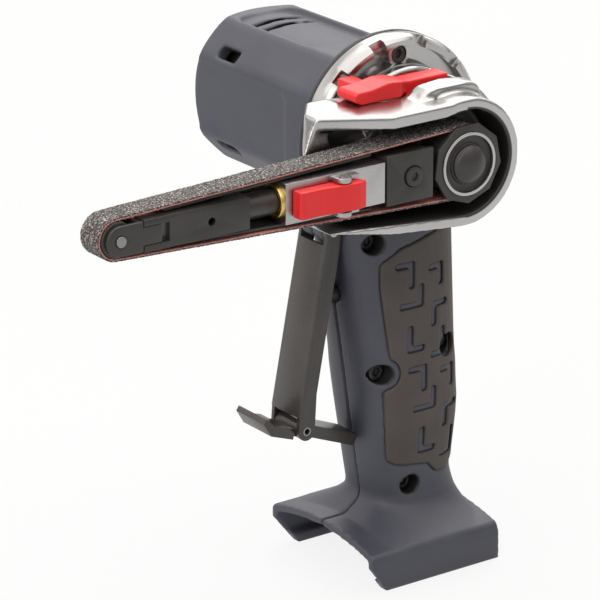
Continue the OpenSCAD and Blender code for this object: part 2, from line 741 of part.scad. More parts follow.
module planet_carrier() {
  color([0.6, 0.6, 0.62]) difference() {
    union() {
      y_rod(orbit_r + planet_pin_r + 1.2, carrier_y0, carrier_y0 + carrier_t);
      y_rod(spindle_r, carrier_y0 + 1, plate_y1 - 1);
      y_rod(spindle_r - 1, carrier_y0 + 1, spindle_y1);
      for (i = [0:2])
        y_rod(planet_pin_r, gear_y0, carrier_y0 + 1, orbit_r * cos(120 * i), axis_h + orbit_r * sin(120 * i));
    }
    y_rod(cap_shank_r, spindle_y1 - 10, spindle_y1 + 1);
  }
}
module spindle_bearings() {
  y0 = carrier_y0 + carrier_t + 1.8;
  color([0.7, 0.7, 0.72]) for (y = [y0, spigot_y - bearing_w])
    difference() {
      y_rod(bearing_r, y, y + bearing_w);
      y_rod(spindle_r + run_gap, y - 1, y + bearing_w + 1);
      y_tube(bearing_r - 1.8, spindle_r + 1.8, y - 1, y + 0.4);
      y_tube(bearing_r - 1.8, spindle_r + 1.8, y + bearing_w - 0.4, y + bearing_w + 1);
    }
}
module swivel_circlip() {
  color([0.3, 0.3, 0.3]) difference() {
    y_tube(spigot_r + 1.2, spigot_r - 1.1, circlip_y, circlip_y + circlip_t);
    box([-1.5, 1.5], [0, 40], [axis_h - 40, axis_h]);
  }
}

// Drive wheel: hub, eight-sided front flange, rubber tyre, bright ring and domed cap
tyre_t = 1;
flange_flat_r = 13.2;
cap_r = 6.3;
cap_shank_r = 2.4;
module drive_wheel() {
  hub_r = drive_r - part_gap - tyre_t;
  color([0.09, 0.09, 0.09]) difference() {
    union() {
      y_turn() polygon([[spindle_r - 1, wheel_y0], [drive_r + 0.9, wheel_y0], [drive_r + 0.9, wheel_y0 + 1.2],
        [hub_r, wheel_y0 + 1.2], [hub_r, wheel_y1], [spindle_r - 1, wheel_y1]]);
      translate([0, wheel_y1, axis_h]) rotate([-90, 0, 0]) rotate([0, 0, 12])
        cylinder(r = flange_flat_r, h = face_y - wheel_y1, $fn = 9);
    }
    y_rod(spindle_r - 1, wheel_y0 - 1, face_y + 1);
    y_tube(ring_in_r, cap_r + 0.4, face_y - 0.8, face_y + 1);
  }
}
ring_in_r = 9.3;
ring_out_r = 10.3;
module drive_tyre() {
  color([0.06, 0.06, 0.06]) y_tube(drive_r - part_gap, drive_r - part_gap - tyre_t, wheel_y0 + 1.3, wheel_y1);
}
module wheel_ring() {
  color([0.85, 0.85, 0.86]) y_tube(ring_out_r, ring_in_r, face_y, face_y + 0.7);
}
module wheel_cap() {
  dome = [for (i = [0:6]) let (a = 15 * i) [cap_r * cos(a), face_y + 0.8 + 1.6 * sin(a)]];
  color([0.12, 0.12, 0.12]) {
    y_turn() polygon(concat([[0, face_y], [cap_r, face_y]], dome));
    y_rod(cap_shank_r, spindle_y1 - 9, face_y);
  }
}

// Belt loop and what lies inside it
arc_steps = 32;
run_tilt = acos(run_sin);
function run_outline(off) = concat(
  [for (i = [0:arc_steps]) let (a = run_tilt + (360 - 2 * run_tilt) * i / arc_steps)
    (drive_r + off) * [cos(a), sin(a)]],
  [for (i = [0:arc_steps]) let (a = -run_tilt + 2 * run_tilt * i / arc_steps)
    [wheel_base, 0] + (idler_r + off) * [cos(a), sin(a)]]);
module abrasive_belt() {
  color([0.45, 0.42, 0.42]) difference() {
    y_slab(belt_y0, belt_y1) polygon(run_outline(belt_t));
    y_slab(belt_y0 - 1, belt_y1 + 1) polygon(run_outline(0));
  }
}
platen_t = 0.9;
platen_gap = 0.5;
platen_x = [bracket_x0 + 3, wheel_base - 17.3];
module platen_side(off) {
  polygon([[platen_x[0], run_z(platen_x[0], drive_r - off)], [platen_x[1], run_z(platen_x[1], drive_r - off)],
    [platen_x[1], -run_z(platen_x[1], drive_r - off)], [platen_x[0], -run_z(platen_x[0], drive_r - off)]]);
}
module belt_platen() {
  color([0.08, 0.08, 0.08]) difference() {
    y_slab(arm_y0 - 1.2, belt_y1 - 0.8) platen_side(platen_gap);
    y_slab(arm_y0, belt_y1 + 1) platen_side(platen_gap + platen_t);
  }
}

// Head: swivel collar, block under the deck, back plate and belt guard
block_y0 = collar_y0 + 5;
lock_y = [plate_y0 - 5, plate_y0 + 5];
lock_pivot = [6.6, deck_z - 1.1];
guard_in_r = guard_r - guard_wall;
module head_casting() {
  color([0.8, 0.8, 0.82]) difference() {
    union() {
      y_rod(collar_r, collar_y0, plate_y1);
      y_rod(guard_r, plate_y0, plate_y1);
      y_slab(block_y0, plate_y1) polygon([[-14, 8], [-9, deck_z - 1], [0, deck_z], [deck_x, deck_z],
        [deck_x + 4, deck_z - 11], [20, 0], [-14, 0]]);
      y_slab(plate_y0 - 3, plate_y1) polygon([[0, 10], [deck_x + 4, deck_z - 11], [deck_x - 5, -4], [30, -15],
        [0, -guard_r]]);
      y_slab(plate_y1 - 1, rim_y) guard_outer();
      hull() for (x = [lock_pivot[0], lock_pivot[0] - 13])
        y_rod(5.6, lock_y[1] + part_gap, plate_y1 + 5, x, axis_h + lock_pivot[1] - 1);
    }
    y_slab(plate_y1, rim_y + 1) guard_inner();
    deck_trim();
    scoop();
    y_rod(spigot_r + run_gap, collar_y0 - 1, spigot_y + part_gap);
    y_tube(spigot_r + 1.3, spigot_r - 1, circlip_y - 0.3, circlip_y + circlip_t + 0.3);
    y_rod(spindle_r + 4.4, spigot_y, plate_y1 + 1);
    lock_slot();
    y_rod(lock_pin_r, block_y0, plate_y1 + 6, lock_pivot[0], axis_h + lock_pivot[1]);
  }
}
module guard_outer() {
  circle(guard_r);
  polygon([[0, 0], [0, guard_r], [6, deck_z + 0.2], [deck_x, deck_z], [deck_x, 0]]);
  polygon([[0, 0], [0, -guard_r], [28, -deck_z + 1.6], [lip_x, -deck_z + 6.6],
    [lip_x - 3, -deck_z + 8.4], [28, 0]]);
}
module guard_inner() {
  circle(guard_in_r);
  polygon([[0, guard_in_r], [8, guard_in_r - 1.2], [lip_x + 20, deck_z - guard_wall - 0.6],
    [lip_x + 20, -deck_z + 8.6], [28, -deck_z + 5.2], [0, -guard_in_r]]);
}
// The deck's front edge runs back to the corner, and the cheek falls away behind it
module deck_trim() {
  translate([0, 0, axis_h - 2]) linear_extrude(60)
    polygon([[28.5, rim_y], [deck_x + 1, plate_y1], [deck_x + 30, plate_y1], [deck_x + 30, rim_y + 10],
      [28.5, rim_y + 10]]);
  translate([0, 0, axis_h - 40]) linear_extrude(80)
    polygon([[deck_x + 5, plate_y1], [deck_x - 14, block_y0 - 8], [deck_x + 20, block_y0 - 8],
      [deck_x + 20, plate_y1]]);
}
// Recess behind the upper run of the belt
module scoop() {
  y_slab(plate_y0 - 2, plate_y1 + 1) polygon([[22, 6], [deck_x - 8, 2], [deck_x - 5, deck_z - 6],
    [26, deck_z - guard_wall - 0.6]]);
}

// Head lock lever with its spring, in a slot across the deck
lock_pin_r = 1.2;
lock_hub_y = spigot_y + 0.9;
lock_spring_x = -3.6;
lock_spring_y = spigot_y + 3.1;
lock_spring_h = 8;
lock_tail_x = -7;
lock_pad_x = 31.5;
tooth_x = [19, 25];
module lock_slot() {
  box([lock_tail_x - 1.5, lock_pivot[0] - 2], lock_y + [-part_gap, part_gap],
    [axis_h + deck_z - 1.8, axis_h + 60]);
  box([lock_pivot[0] - 4.6, lock_pivot[0] + 4.6], [lock_hub_y - part_gap, lock_y[1] + part_gap],
    [axis_h + deck_z - 4.8, axis_h + 60]);
  box([-9, lock_pad_x + 2], [block_y0 - 1, lock_y[1] + part_gap], [axis_h + deck_z - 0.4, axis_h + 60]);
  z_rod(2.6, axis_h + deck_z - lock_spring_h + 1, axis_h + 60, lock_spring_x, lock_spring_y);
}
module head_lock_lever() {
  z0 = deck_z;
  color([0.85, 0.1, 0.12]) difference() {
    union() {
      y_slab(lock_y[0], lock_y[1]) polygon([[lock_tail_x, z0 + 1.2], [lock_tail_x, z0 + 3.8], [9, z0 + 3.7],
        [14, z0 + 5.1], [18.5, z0 + 5.4], [25, z0 + 4.2], [lock_pad_x - 1, z0 + 4], [lock_pad_x, z0 + 3.2],
        [lock_pad_x, z0 + 1.2],
        [lock_pad_x - 2, z0], [lock_pivot[0], z0], [lock_pivot[0] - 3, z0 + 0.8]]);
      y_rod(3.2, lock_hub_y, lock_y[1], lock_pivot[0], axis_h + lock_pivot[1]);
      box(tooth_x, [case_y1 + part_gap, lock_y[0] + 1], [axis_h + z0 + 0.2, axis_h + z0 + 3.6]);
    }
    y_rod(lock_pin_r + run_gap, 0, 60, lock_pivot[0], axis_h + lock_pivot[1]);
    translate([0, 0, axis_h + z0 - 1]) linear_extrude(20)
      polygon([[lock_tail_x - 1, lock_y[1] + 1], [lock_tail_x - 1, lock_y[1] - 3], [10, lock_y[1] - 3],
        [15, lock_y[1] + 1]]);
  }
}
module lock_pin() {
  color([0.7, 0.7, 0.7])
    y_rod(lock_pin_r, block_y0 + 1, plate_y1 + 4.6, lock_pivot[0], axis_h + lock_pivot[1]);
}

// Springs: one tube wound on a helix, with closed flat ends
curl_rings = 8;
tube_sides = 6;
function coil_points(r, h, curls) = [for (i = [0:curls * curl_rings]) let (a = 360 * i / curl_rings)
  [r * cos(a), r * sin(a), h * i / (curls * curl_rings)]];
function coil_ring(p, r, wire, a) = [for (k = [0:tube_sides - 1]) let (b = 360 * k / tube_sides)
  p + wire * [cos(a) * cos(b), sin(a) * cos(b), sin(b)]];
module coil(r, h, curls, wire) {
  pts = coil_points(r, h - 2 * wire, curls);
  echo(coil_gap = (h - 2 * wire) / curls - 2 * wire);
  translate([0, 0, wire])
    loft([for (i = [len(pts) - 1:-1:0]) coil_ring(pts[i], r, wire, 360 * i / curl_rings)]);
}
module lock_spring() {
  color([0.6, 0.6, 0.6]) translate([lock_spring_x, lock_spring_y, axis_h + deck_z - lock_spring_h + 1.04])
    coil(1.8, lock_spring_h, 4, 0.35);
}

// Arm: mount and cover plate on the guard, steel bracket with its latch, bush, sliding rod and nose
arm_y0 = belt_y0 + 0.6;
arm_y1 = face_y + 0.2;
mount_x = [flange_flat_r + 0.8, bracket_x0 - 0.8];
mount_half = 8.1;
arm_screw_x = 21.7;
rod_y = (arm_y0 + arm_y1) / 2;
bush_r = 5.5;
bush_x = [bracket_x1 - 4, bracket_x1 + 1.4];
bar_x = [83.5, wheel_base - 17.2];
prong_x = wheel_base - 8.2;
tongue_half = 2.85;
bar_y = [arm_y1 - 6, arm_y1];
spring_x = [bracket_x0 + 4, bracket_x0 + 14];
module arm_mount() {
  color([0.1, 0.1, 0.1]) difference() {
    union() {
      box(mount_x, [plate_y1, arm_y1 - 1.6], [axis_h - mount_half + 0.8, axis_h + mount_half - 0.8]);
      box([mount_x[1] - 4, bracket_x0 + 4], [plate_y1 + 0.6, arm_y0 - 1.2], [axis_h - 6, axis_h + 6]);
      box([bracket_x0, platen_x[1] - 30], [arm_y0 - 2.2, arm_y0 - 1.2], [axis_h - 5, axis_h + 5]);
    }
    y_rod(screw_r, plate_y1 - 1, arm_y1, arm_screw_x);
  }
}
module arm_plate() {
  color([0.12, 0.12, 0.12]) difference() {
    box(mount_x, [arm_y1 - 1.6, arm_y1], [axis_h - mount_half, axis_h + mount_half]);
    y_rod(screw_r + 0.2, 0, 80, arm_screw_x);
    y_rod(3.4, arm_y1 - 0.8, 80, arm_screw_x);
  }
}
module arm_screw() {
  color([0.15, 0.15, 0.15]) translate([arm_screw_x, 0, axis_h]) difference() {
    union() {
      y_rod(3.2, arm_y1 - 0.8, arm_y1 + 0.6, 0, 0);
      y_rod(screw_r, plate_y1 + 1, arm_y1 - 0.7, 0, 0);
    }
    translate([0, arm_y1 - 0.4, 0]) rotate([-90, 0, 0]) cylinder(r = 1.4, h = 3, $fn = 6);
  }
}
latch_x = 51;
latch_y = arm_y1 + 3.2;
latch_half = 4.4;
latch_pin_r = 1.2;
tab_t = 1.4;
module arm_bracket() {
  color([0.75, 0.75, 0.77]) difference() {
    union() {
      difference() {
        box([bracket_x0, bracket_x1], [arm_y0, arm_y1], [axis_h - bracket_half, axis_h + bracket_half]);
        box([bracket_x0 + 2, bracket_x1 - 3.4], [arm_y0 + sheet_t, arm_y1 - sheet_t],
          [axis_h - bracket_half + sheet_t, axis_h + bracket_half - sheet_t]);
      }
      box([bracket_x1 - 2, bar_x[0] + 4], [arm_y0, arm_y0 + sheet_t],
        [axis_h - bracket_half + 0.3, axis_h + bracket_half - 0.3]);
      for (s = [-1, 1])
        latch_tab(s);
    }
    x_rod(bush_r, bush_x[0], bush_x[1] + 5, rod_y);
    z_rod(latch_pin_r, 0, axis_h + 40, latch_x, latch_y);
  }
}
// Ear bent forward from the bracket to carry the latch's pin
module latch_tab(s) {
  z = s * (latch_half + part_gap + tab_t / 2);
  translate([0, 0, z]) {
    z_rod(2.6, axis_h - tab_t / 2, axis_h + tab_t / 2, latch_x, latch_y);
    box([latch_x - 6, latch_x + 2.6], [arm_y1 - 1, latch_y], [axis_h - tab_t / 2, axis_h + tab_t / 2]);
  }
}
module latch_pin() {
  reach = latch_half + part_gap + tab_t + 0.4;
  color([0.7, 0.7, 0.7]) z_rod(latch_pin_r, axis_h - reach, axis_h + reach, latch_x, latch_y);
}
module tension_latch() {
  y0 = arm_y1 + part_gap;
  color([0.85, 0.1, 0.12]) difference() {
    translate([0, 0, axis_h - latch_half]) linear_extrude(2 * latch_half)
      polygon([[44.6, y0 + 2.2], [43.8, y0 + 5.2], [47, y0 + 6], [53, y0 + 5.6],
        [60, y0 + 4.4], [67, y0 + 4.6],
        [68, y0 + 3.6], [68, y0], [latch_x, y0]]);
    z_rod(latch_pin_r + run_gap, 0, axis_h + 40, latch_x, latch_y);
  }
}
module rod_bush() {
  color([0.75, 0.58, 0.25]) difference() {
    x_rod(bush_r, bush_x[0], bush_x[1], rod_y);
    x_rod(rod_r + run_gap, bush_x[0] - 1, bush_x[1] + 1, rod_y);
  }
}
module tension_rod() {
  color([0.1, 0.1, 0.1]) difference() {
    union() {
      x_rod(rod_r, spring_x[1], bar_x[0] + 2, rod_y);
      x_rod(2, spring_x[0] + tension_travel + 1, spring_x[1] + 1, rod_y);
      box([bar_x[0], prong_x], bar_y, [axis_h - bar_half, axis_h + bar_half]);
    }
    box([bar_x[1], prong_x + 5], bar_y + [-1, 1], [axis_h - tongue_half - 0.15, axis_h + tongue_half + 0.15]);
    y_rod(1.3, 0, 80, bar_x[1] - 15.1);
  }
}
tongue_x0 = wheel_base - 14.6;
nose_x0 = prong_x + 0.2;
nose_half = 4.75;
cheek_t = 1.4;
fork_y = [arm_y0, arm_y1];
module nose_fork() {
  color([0.12, 0.12, 0.12]) difference() {
    union() {
      for (y = [fork_y[0], fork_y[1] - cheek_t]) {
        box([nose_x0, wheel_base], [y, y + cheek_t], [axis_h - nose_half, axis_h + nose_half]);
        y_rod(nose_half, y, y + cheek_t, wheel_base);
      }
      box([nose_x0, wheel_base - idler_r - part_gap], fork_y, [axis_h - nose_half, axis_h + nose_half]);
      box([tongue_x0, nose_x0 + 1], bar_y, [axis_h - tongue_half, axis_h + tongue_half]);
    }
    y_rod(idler_pin_r, 0, 80, wheel_base);
  }
}
module idler_pin() {
  color([0.75, 0.75, 0.75]) y_rod(idler_pin_r, fork_y[0], fork_y[1] + 0.5, wheel_base);
}
module idler_wheel() {
  color([0.15, 0.15, 0.15]) difference() {
    y_rod(idler_r - part_gap, fork_y[0] + cheek_t + part_gap, fork_y[1] - cheek_t - part_gap, wheel_base);
    y_rod(idler_pin_r + run_gap, 0, 80, wheel_base);
  }
}
module tension_spring() {
  color([0.6, 0.6, 0.6]) translate([bracket_x0 + 2.05, rod_y, axis_h]) rotate([0, 90, 0])
    coil(2.9, spring_x[1] - bracket_x0 - 2.1, 6, 0.4);
}

// Paddle, drawn hanging from its pivot and leant forward
module at_pivot() {
  translate([pivot[0], 0, pivot[1]]) rotate([0, -paddle_lean, 0]) children();
}
web_low = paddle_len - 4.6;
paddle_crown = 40;
module paddle() {
  half = paddle_w / 2;
  color([0.13, 0.12, 0.12]) at_pivot() difference() {
    union() {
      intersection() {
        box([paddle_back, paddle_front + 2], [-half, half], [-web_low, 0]);
        translate([paddle_front + 0.2 - paddle_crown, 0, -100]) cylinder(r = paddle_crown, h = 200);
      }
      for (y = [-half, half - paddle_wall]) {
        y_rod(3.3, y, y + paddle_wall, 0, 0);
        translate([0, y + paddle_wall, 0]) rotate([90, 0, 0]) linear_extrude(paddle_wall)
          polygon([[paddle_back, -web_low + 8], [paddle_front - 0.5, -web_low + 2],
            [roll_pin_x + 3.2, -paddle_len],
            [roll_pin_x - 3.2, -paddle_len]]);
        y_rod(3.2, y, y + paddle_wall, roll_pin_x, -paddle_len);
      }
    }
    box([paddle_back - 1, paddle_front - paddle_wall], [-half + paddle_wall, half - paddle_wall],
      [-paddle_len - 20, 20]);
    y_rod(lever_pin_r + run_gap, -40, 40, 0, 0);
    y_rod(lever_pin_r, -40, 40, roll_pin_x, -paddle_len);
    box([-20, 20], [-half + paddle_wall, half - paddle_wall], [-lug_r - 1, 10]);
  }
}
module paddle_pin() {
  color([0.6, 0.6, 0.6]) y_rod(lever_pin_r, -paddle_w / 2, paddle_w / 2, pivot[0], pivot[1]);
}
module roll_pin() {
  color([0.7, 0.7, 0.7]) difference() {
    y_rod(lever_pin_r, -paddle_w / 2 - 0.2, paddle_w / 2 + 0.2, roll_pin[0], roll_pin[1]);
    y_rod(lever_pin_r - 0.5, -20, 20, roll_pin[0], roll_pin[1]);
  }
}

// Lock-off lever on the roll pin: a tab in front, and a strut that stops against the grip
strut_drop = 9.3;
strut_h = 4;
strut_tip = [grip_front(roll_pin[1] - strut_drop) + 0.7, roll_pin[1] - strut_drop];
tab_rise = 16;
tab_len = 17.5;
lock_hub_r = 3.1;
module lock_off_lever() {
  v = strut_tip - roll_pin;
  reach = norm(v);
  tilt = atan2(v[1], -v[0]);
  inner = paddle_w / 2 - paddle_wall - part_gap;
  half = inner - 0.2;
  color([0.13, 0.12, 0.12]) translate([roll_pin[0], 0, roll_pin[1]]) difference() {
    union() {
      y_rod(lock_hub_r, -inner, inner, 0, 0);
      rotate([0, tilt, 0]) intersection() {
        translate([0, 0, -strut_h / 2 - 1]) linear_extrude(strut_h + 2)
          polygon([[-1, -half], [-1, half], [-reach + 3, half], [-reach + 0.8, half - 1.4],
            [-reach, half - 3.4],
            [-reach, 3.4 - half], [-reach + 0.8, 1.4 - half], [-reach + 3, -half]]);
        translate([0, inner, 0]) rotate([90, 0, 0]) linear_extrude(2 * inner)
          polygon([[0, -strut_h / 2], [0, strut_h / 2], [-reach + 1.6, strut_h / 2], [-reach + 0.4, 1.2],
            [-reach, 0.4], [-reach, -0.6], [-reach + 1.2, -strut_h / 2]]);
      }
      rotate([0, -tab_rise, 0]) {
        box([1, 7], [-half + 0.2, half - 0.2], [-2.5, 0]);
        translate([0, paddle_w / 2, 0]) rotate([90, 0, 0]) linear_extrude(paddle_w)
          polygon([[4.9, -3], [4.9, -1], [8, 0.8], [13, 0.8], [tab_len, 3.2],
            [tab_len + 0.6, 1.4], [14, -2.4]]);
      }
    }
    y_rod(lever_pin_r + run_gap, -40, 40, 0, 0);
  }
}

// Switch and power parts inside the handle
module switch_plunger() {
  color([0.05, 0.05, 0.05]) {
    x_rod(plunger_r, switch_x[1] - 3, plunger_tip - 1, 0, plunger_z);
    translate([plunger_tip - 1, 0, plunger_z]) rotate([0, 90, 0])
      cylinder(r1 = plunger_r, r2 = plunger_r - 0.8, h = 1);
  }
}
module switch_body() {
  color([0.1, 0.1, 0.12]) difference() {
    box(switch_x, [-switch_half, switch_half], switch_z);
    x_rod(plunger_r + run_gap, switch_x[1] - 8, switch_x[1] + 5, 0, plunger_z);
  }
}
module control_board() {
  color([0.05, 0.25, 0.12]) {
    box(board_x, [-board_t / 2, board_t / 2], board_z);
    box([board_x[0] + 7, board_x[0] + 14], [board_t / 2 - eps, 4],
      [mix(board_z[0], board_z[1], 0.25), mix(board_z[0], board_z[1], 0.75)]);
  }
}
module terminal_block() {
  color([0.08, 0.08, 0.08]) difference() {
    box(block_x, [-block_half, block_half], block_z);
    for (y = [-7, 0, 7])
      box(contact_x, [y - 0.4, y + 0.4], [block_z[0] - 1, block_z[0] + 3]);
  }
}
module battery_contacts() {
  color([0.8, 0.65, 0.35]) for (y = [-7, 0, 7])
    box(contact_x, [y - 0.4, y + 0.4], [block_z[0] - 5, block_z[0] + 3]);
}

front_handle_half();
rear_handle_half();
front_grip_pad();
rear_grip_pad();
motor_barrel();
barrel_seal();
gear_case();
case_screws();
handle_screws();
motor_can();
motor_end_bell();
field_magnets();
carbon_brushes();
motor_bearings();
ring_gear();
spindle_bearings();
swivel_circlip();
switch_body();
control_board();
terminal_block();
battery_contacts();
paddle_pin();
rotor();
cooling_fan();
sun_pinion();
planet_carrier();
drive_wheel();
drive_tyre();
wheel_ring();
wheel_cap();
planet_gear_1();
planet_gear_2();
planet_gear_3();
head_casting();
lock_pin();
arm_mount();
arm_plate();
arm_screw();
arm_bracket();
rod_bush();
belt_platen();
abrasive_belt();
latch_pin();
head_lock_lever();
lock_spring();
tension_rod();
nose_fork();
idler_pin();
tension_spring();
idler_wheel();
tension_latch();
paddle();
roll_pin();
lock_off_lever();
switch_plunger();
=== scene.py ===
import bpy
import bmesh
import json
import math
from mathutils import Matrix, Vector


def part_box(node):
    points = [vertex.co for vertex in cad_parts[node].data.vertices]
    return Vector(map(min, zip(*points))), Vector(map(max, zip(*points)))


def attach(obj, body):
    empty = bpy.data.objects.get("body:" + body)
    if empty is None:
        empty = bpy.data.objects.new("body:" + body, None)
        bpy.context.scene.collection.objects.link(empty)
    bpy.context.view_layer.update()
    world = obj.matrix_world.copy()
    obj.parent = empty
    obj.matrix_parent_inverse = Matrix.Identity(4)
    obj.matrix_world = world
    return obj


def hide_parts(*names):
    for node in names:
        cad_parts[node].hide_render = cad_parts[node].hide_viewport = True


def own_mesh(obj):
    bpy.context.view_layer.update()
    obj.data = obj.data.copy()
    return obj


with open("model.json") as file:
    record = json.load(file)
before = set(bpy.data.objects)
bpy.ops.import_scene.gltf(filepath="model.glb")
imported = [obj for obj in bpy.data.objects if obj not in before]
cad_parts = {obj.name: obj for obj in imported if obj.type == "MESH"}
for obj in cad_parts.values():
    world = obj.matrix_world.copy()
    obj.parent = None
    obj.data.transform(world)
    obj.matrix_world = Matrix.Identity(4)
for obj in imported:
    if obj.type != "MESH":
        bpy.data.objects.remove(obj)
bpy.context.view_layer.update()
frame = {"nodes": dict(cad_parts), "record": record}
nodes = frame["nodes"]
bodyOf = {n: b for b, ns in frame["record"]["behaviour"]["bodies"].items() for n in ns}
slotOf = {p["node"]: p["material_slot"] for p in frame["record"]["subparts"]}
mm = 0.001
# height of the motor's axis
axisHeight = 148.0
# vertices closer than this are one, and faces flatter than this angle are joined
weld, flatAngle = 2e-6, 0.6
# faces that meet below this angle run smoothly together
crease = 40
print("frame loaded:", len(nodes), "nodes")

# camera at the photograph's angle
shot = {"place": (0.6819, 0.9019, 0.4968), "back": (0.5493, 0.7639, 0.3387), "lens": 220.4}
camera = bpy.data.objects.new("camera", bpy.data.cameras.new("camera"))
bpy.context.scene.collection.objects.link(camera)
camera.location = shot["place"]
camera.rotation_mode = "QUATERNION"
camera.rotation_quaternion = (-Vector(shot["back"])).to_track_quat("-Z", "Y")
camera.data.lens = shot["lens"]
camera.data.sensor_width = 36
camera.data.clip_start, camera.data.clip_end = 0.05, 50
bpy.context.scene.camera = camera


class Wire:
    # a socket that can be used in sums
    def __init__(self, graph, socket):
        self.graph, self.socket = graph, socket

    def sum(self, operation, other, swapped=False):
        pair = (other, self) if swapped else (self, other)
        return self.graph.node("ShaderNodeMath", {"operation": operation}, {0: pair[0], 1: pair[1]})

    def __add__(self, other):
        return self.sum("ADD", other)

    def __radd__(self, other):
        return self.sum("ADD", other, True)

    def __sub__(self, other):
        return self.sum("SUBTRACT", other)

    def __rsub__(self, other):
        return self.sum("SUBTRACT", other, True)

    def __mul__(self, other):
        return self.sum("MULTIPLY", other)

    def __rmul__(self, other):
        return self.sum("MULTIPLY", other, True)


class Graph:
    # a node tree written as expressions
    def node(self, kind, settings=None, sockets=None, out=0):
        made = self.tree.nodes.new(kind)
        for key, value in (settings or {}).items():
            if key == "stops":
                ramp = made.color_ramp
                while len(ramp.elements) < len(value):
                    ramp.elements.new(0.5)
                for element, (at, colour) in zip(ramp.elements, value):
                    element.position, element.color = at, (*colour, 1)
            else:
                setattr(made, key, value)
        for key, value in (sockets or {}).items():
            self.feed(made.inputs[key], value)
        return Wire(self, made.outputs[out])

    def feed(self, socket, value):
        if isinstance(value, Wire):
            self.tree.links.new(value.socket, socket)
        elif isinstance(value, list):
            for wire in value:
                self.tree.links.new(wire.socket, socket)
        elif isinstance(value, tuple) and len(value) == 3 and socket.type == "RGBA":
            socket.default_value = (*value, 1)
        else:
            socket.default_value = value


def mergedMesh(node, flat=True):
    # a node's solid with its triangles joined
    mesh = nodes[node].data.copy()
    work = bmesh.new()
    work.from_mesh(mesh)
    bmesh.ops.remove_doubles(work, verts=work.verts, dist=weld)
    if flat:
        bmesh.ops.dissolve_limit(work, angle_limit=math.radians(flatAngle), verts=work.verts, edges=work.edges)
    work.to_mesh(mesh)
    work.free()
    return mesh


def lumps(node):
    # the corners of each separate solid in a node
    work = bmesh.new()
    work.from_mesh(mergedMesh(node))
    left, found = set(work.verts), []
    while left:
        group, edge = set(), [left.pop()]
        while edge:
            vert = edge.pop()
            group.add(vert)
            near = {e.other_vert(vert) for e in vert.link_edges} & left
            left -= near
            edge.extend(near)
        found.append([[pick(v.co[k] for v in group) for k in range(3)] for pick in (min, max)])
    work.free()
    return found


class Look(Graph):
    # a material
    def __init__(self, name):
        self.material = bpy.data.materials.new(name)
        self.material.use_nodes = True
        self.tree = self.material.node_tree
        self.shader = self.tree.nodes["Principled BSDF"]
        self.place = self.node("ShaderNodeTexCoord", out="Object")

    def set(self, **values):
        for key, value in values.items():
            self.feed(self.shader.inputs[key.replace("_", " ")], value)

    def noise(self, scale, detail=2.0, stretch=(1, 1, 1)):
        spot = self.node("ShaderNodeMapping", sockets={"Vector": self.place, "Scale": stretch})
        return self.node("ShaderNodeTexNoise", sockets={"Vector": spot, "Scale": scale, "Detail": detail})

    def cells(self, scale):
        return self.node("ShaderNodeTexVoronoi", sockets={"Vector": self.place, "Scale": scale}, out="Distance")

    def ramp(self, value, stops):
        return self.node("ShaderNodeValToRGB", {"stops": stops}, {"Fac": value}, "Color")

    def span(self, value, low, high, start, end):
        return self.node("ShaderNodeMapRange", sockets={
            "Value": value, "From Min": low, "From Max": high, "To Min": start, "To Max": end})

    def mix(self, share, first, second):
        made = self.tree.nodes.new("ShaderNodeMix")
        made.data_type = "RGBA"
        self.feed(made.inputs["Factor"], share)
        self.feed(made.inputs[6], first)
        self.feed(made.inputs[7], second)
        return Wire(self, made.outputs[2])

    def below(self, value, limit, soft=0.15 * mm):
        # 1 under the limit and 0 over it
        return self.span(value, limit - soft, limit + soft, 1, 0)

    def spot(self):
        # place in the part and distance from the motor's axis
        apart = self.tree.nodes.new("ShaderNodeSeparateXYZ")
        self.feed(apart.inputs["Vector"], self.place)
        x, y, z = (Wire(self, apart.outputs[k]) for k in range(3))
        z = z - axisHeight * mm
        return x, y, z, self.node("ShaderNodeMath", {"operation": "SQRT"}, {0: x * x + z * z})

    def bump(self, height, strength, distance):
        self.set(Normal=self.node("ShaderNodeBump", sockets={
            "Height": height, "Strength": strength, "Distance": distance}, out="Normal"))


# painted shade in hollows, in mm: the barrel's bore behind its vents, the screw wells and the guard's inside are
# coloured near-black where they lie in shade
barrelBoreShade = {"radius": 23.2, "end": -73.0, "fade": 0.3, "tone": (0.006, 0.006, 0.006)}
wellShade = {"radius": 3.8, "fade": 1e-7, "tone": (0.008, 0.008, 0.008)}
guardShade = {"round": 18.1, "lip": -17.9, "rise": -0.094, "roof": 15.9, "visor": 24.0, "back": 29.9, "fade": 0.2,
         "tone": (0.016, 0.0145, 0.0135), "dull": 0.2}
casting = {"tones": ((0.4, 0.395, 0.39), (0.47, 0.465, 0.46)), "rough": 0.24, "uneven": 0.03}


def mouldedLook(name, dark, light, grain, rough, boreShade=None, wells=()):
    # plastic, rubber or coated metal with fine pebbling, and painted shade in a bore or screw wells where given
    look = Look(name)
    cloud = look.noise(60, 3)
    pebble = look.noise(grain, 2)
    tone = look.mix(look.span(cloud, 0.3, 0.7, 0, 1), dark, light)
    # painted shade: the bore seen through the vents is coloured near-black
    if boreShade:
        x, y, z, reach = look.spot()
        inside = look.span(y, boreShade["end"] * mm, (boreShade["end"] + boreShade["fade"]) * mm, 0, 1)
        tone = look.mix(look.below(reach, boreShade["radius"] * mm) * inside, tone, boreShade["tone"])
    # painted shade: the handle's screw wells are coloured near-black around each screw
    for low, high in wells:
        x, y, z, reach = look.spot()
        x, z = x - (low[0] + high[0]) / 2, z - ((low[2] + high[2]) / 2 - axisHeight * mm)
        paintedShade = look.below(x * x + z * z, wellShade["radius"] ** 2 * mm ** 2, wellShade["fade"])
        tone = look.mix(paintedShade, tone, wellShade["tone"])
    look.set(Base_Color=tone, Roughness=look.span(cloud + pebble, 0.6, 1.4, rough - 0.06, rough + 0.08))
    look.bump(pebble, 0.25, 0.0002)
    return look.material


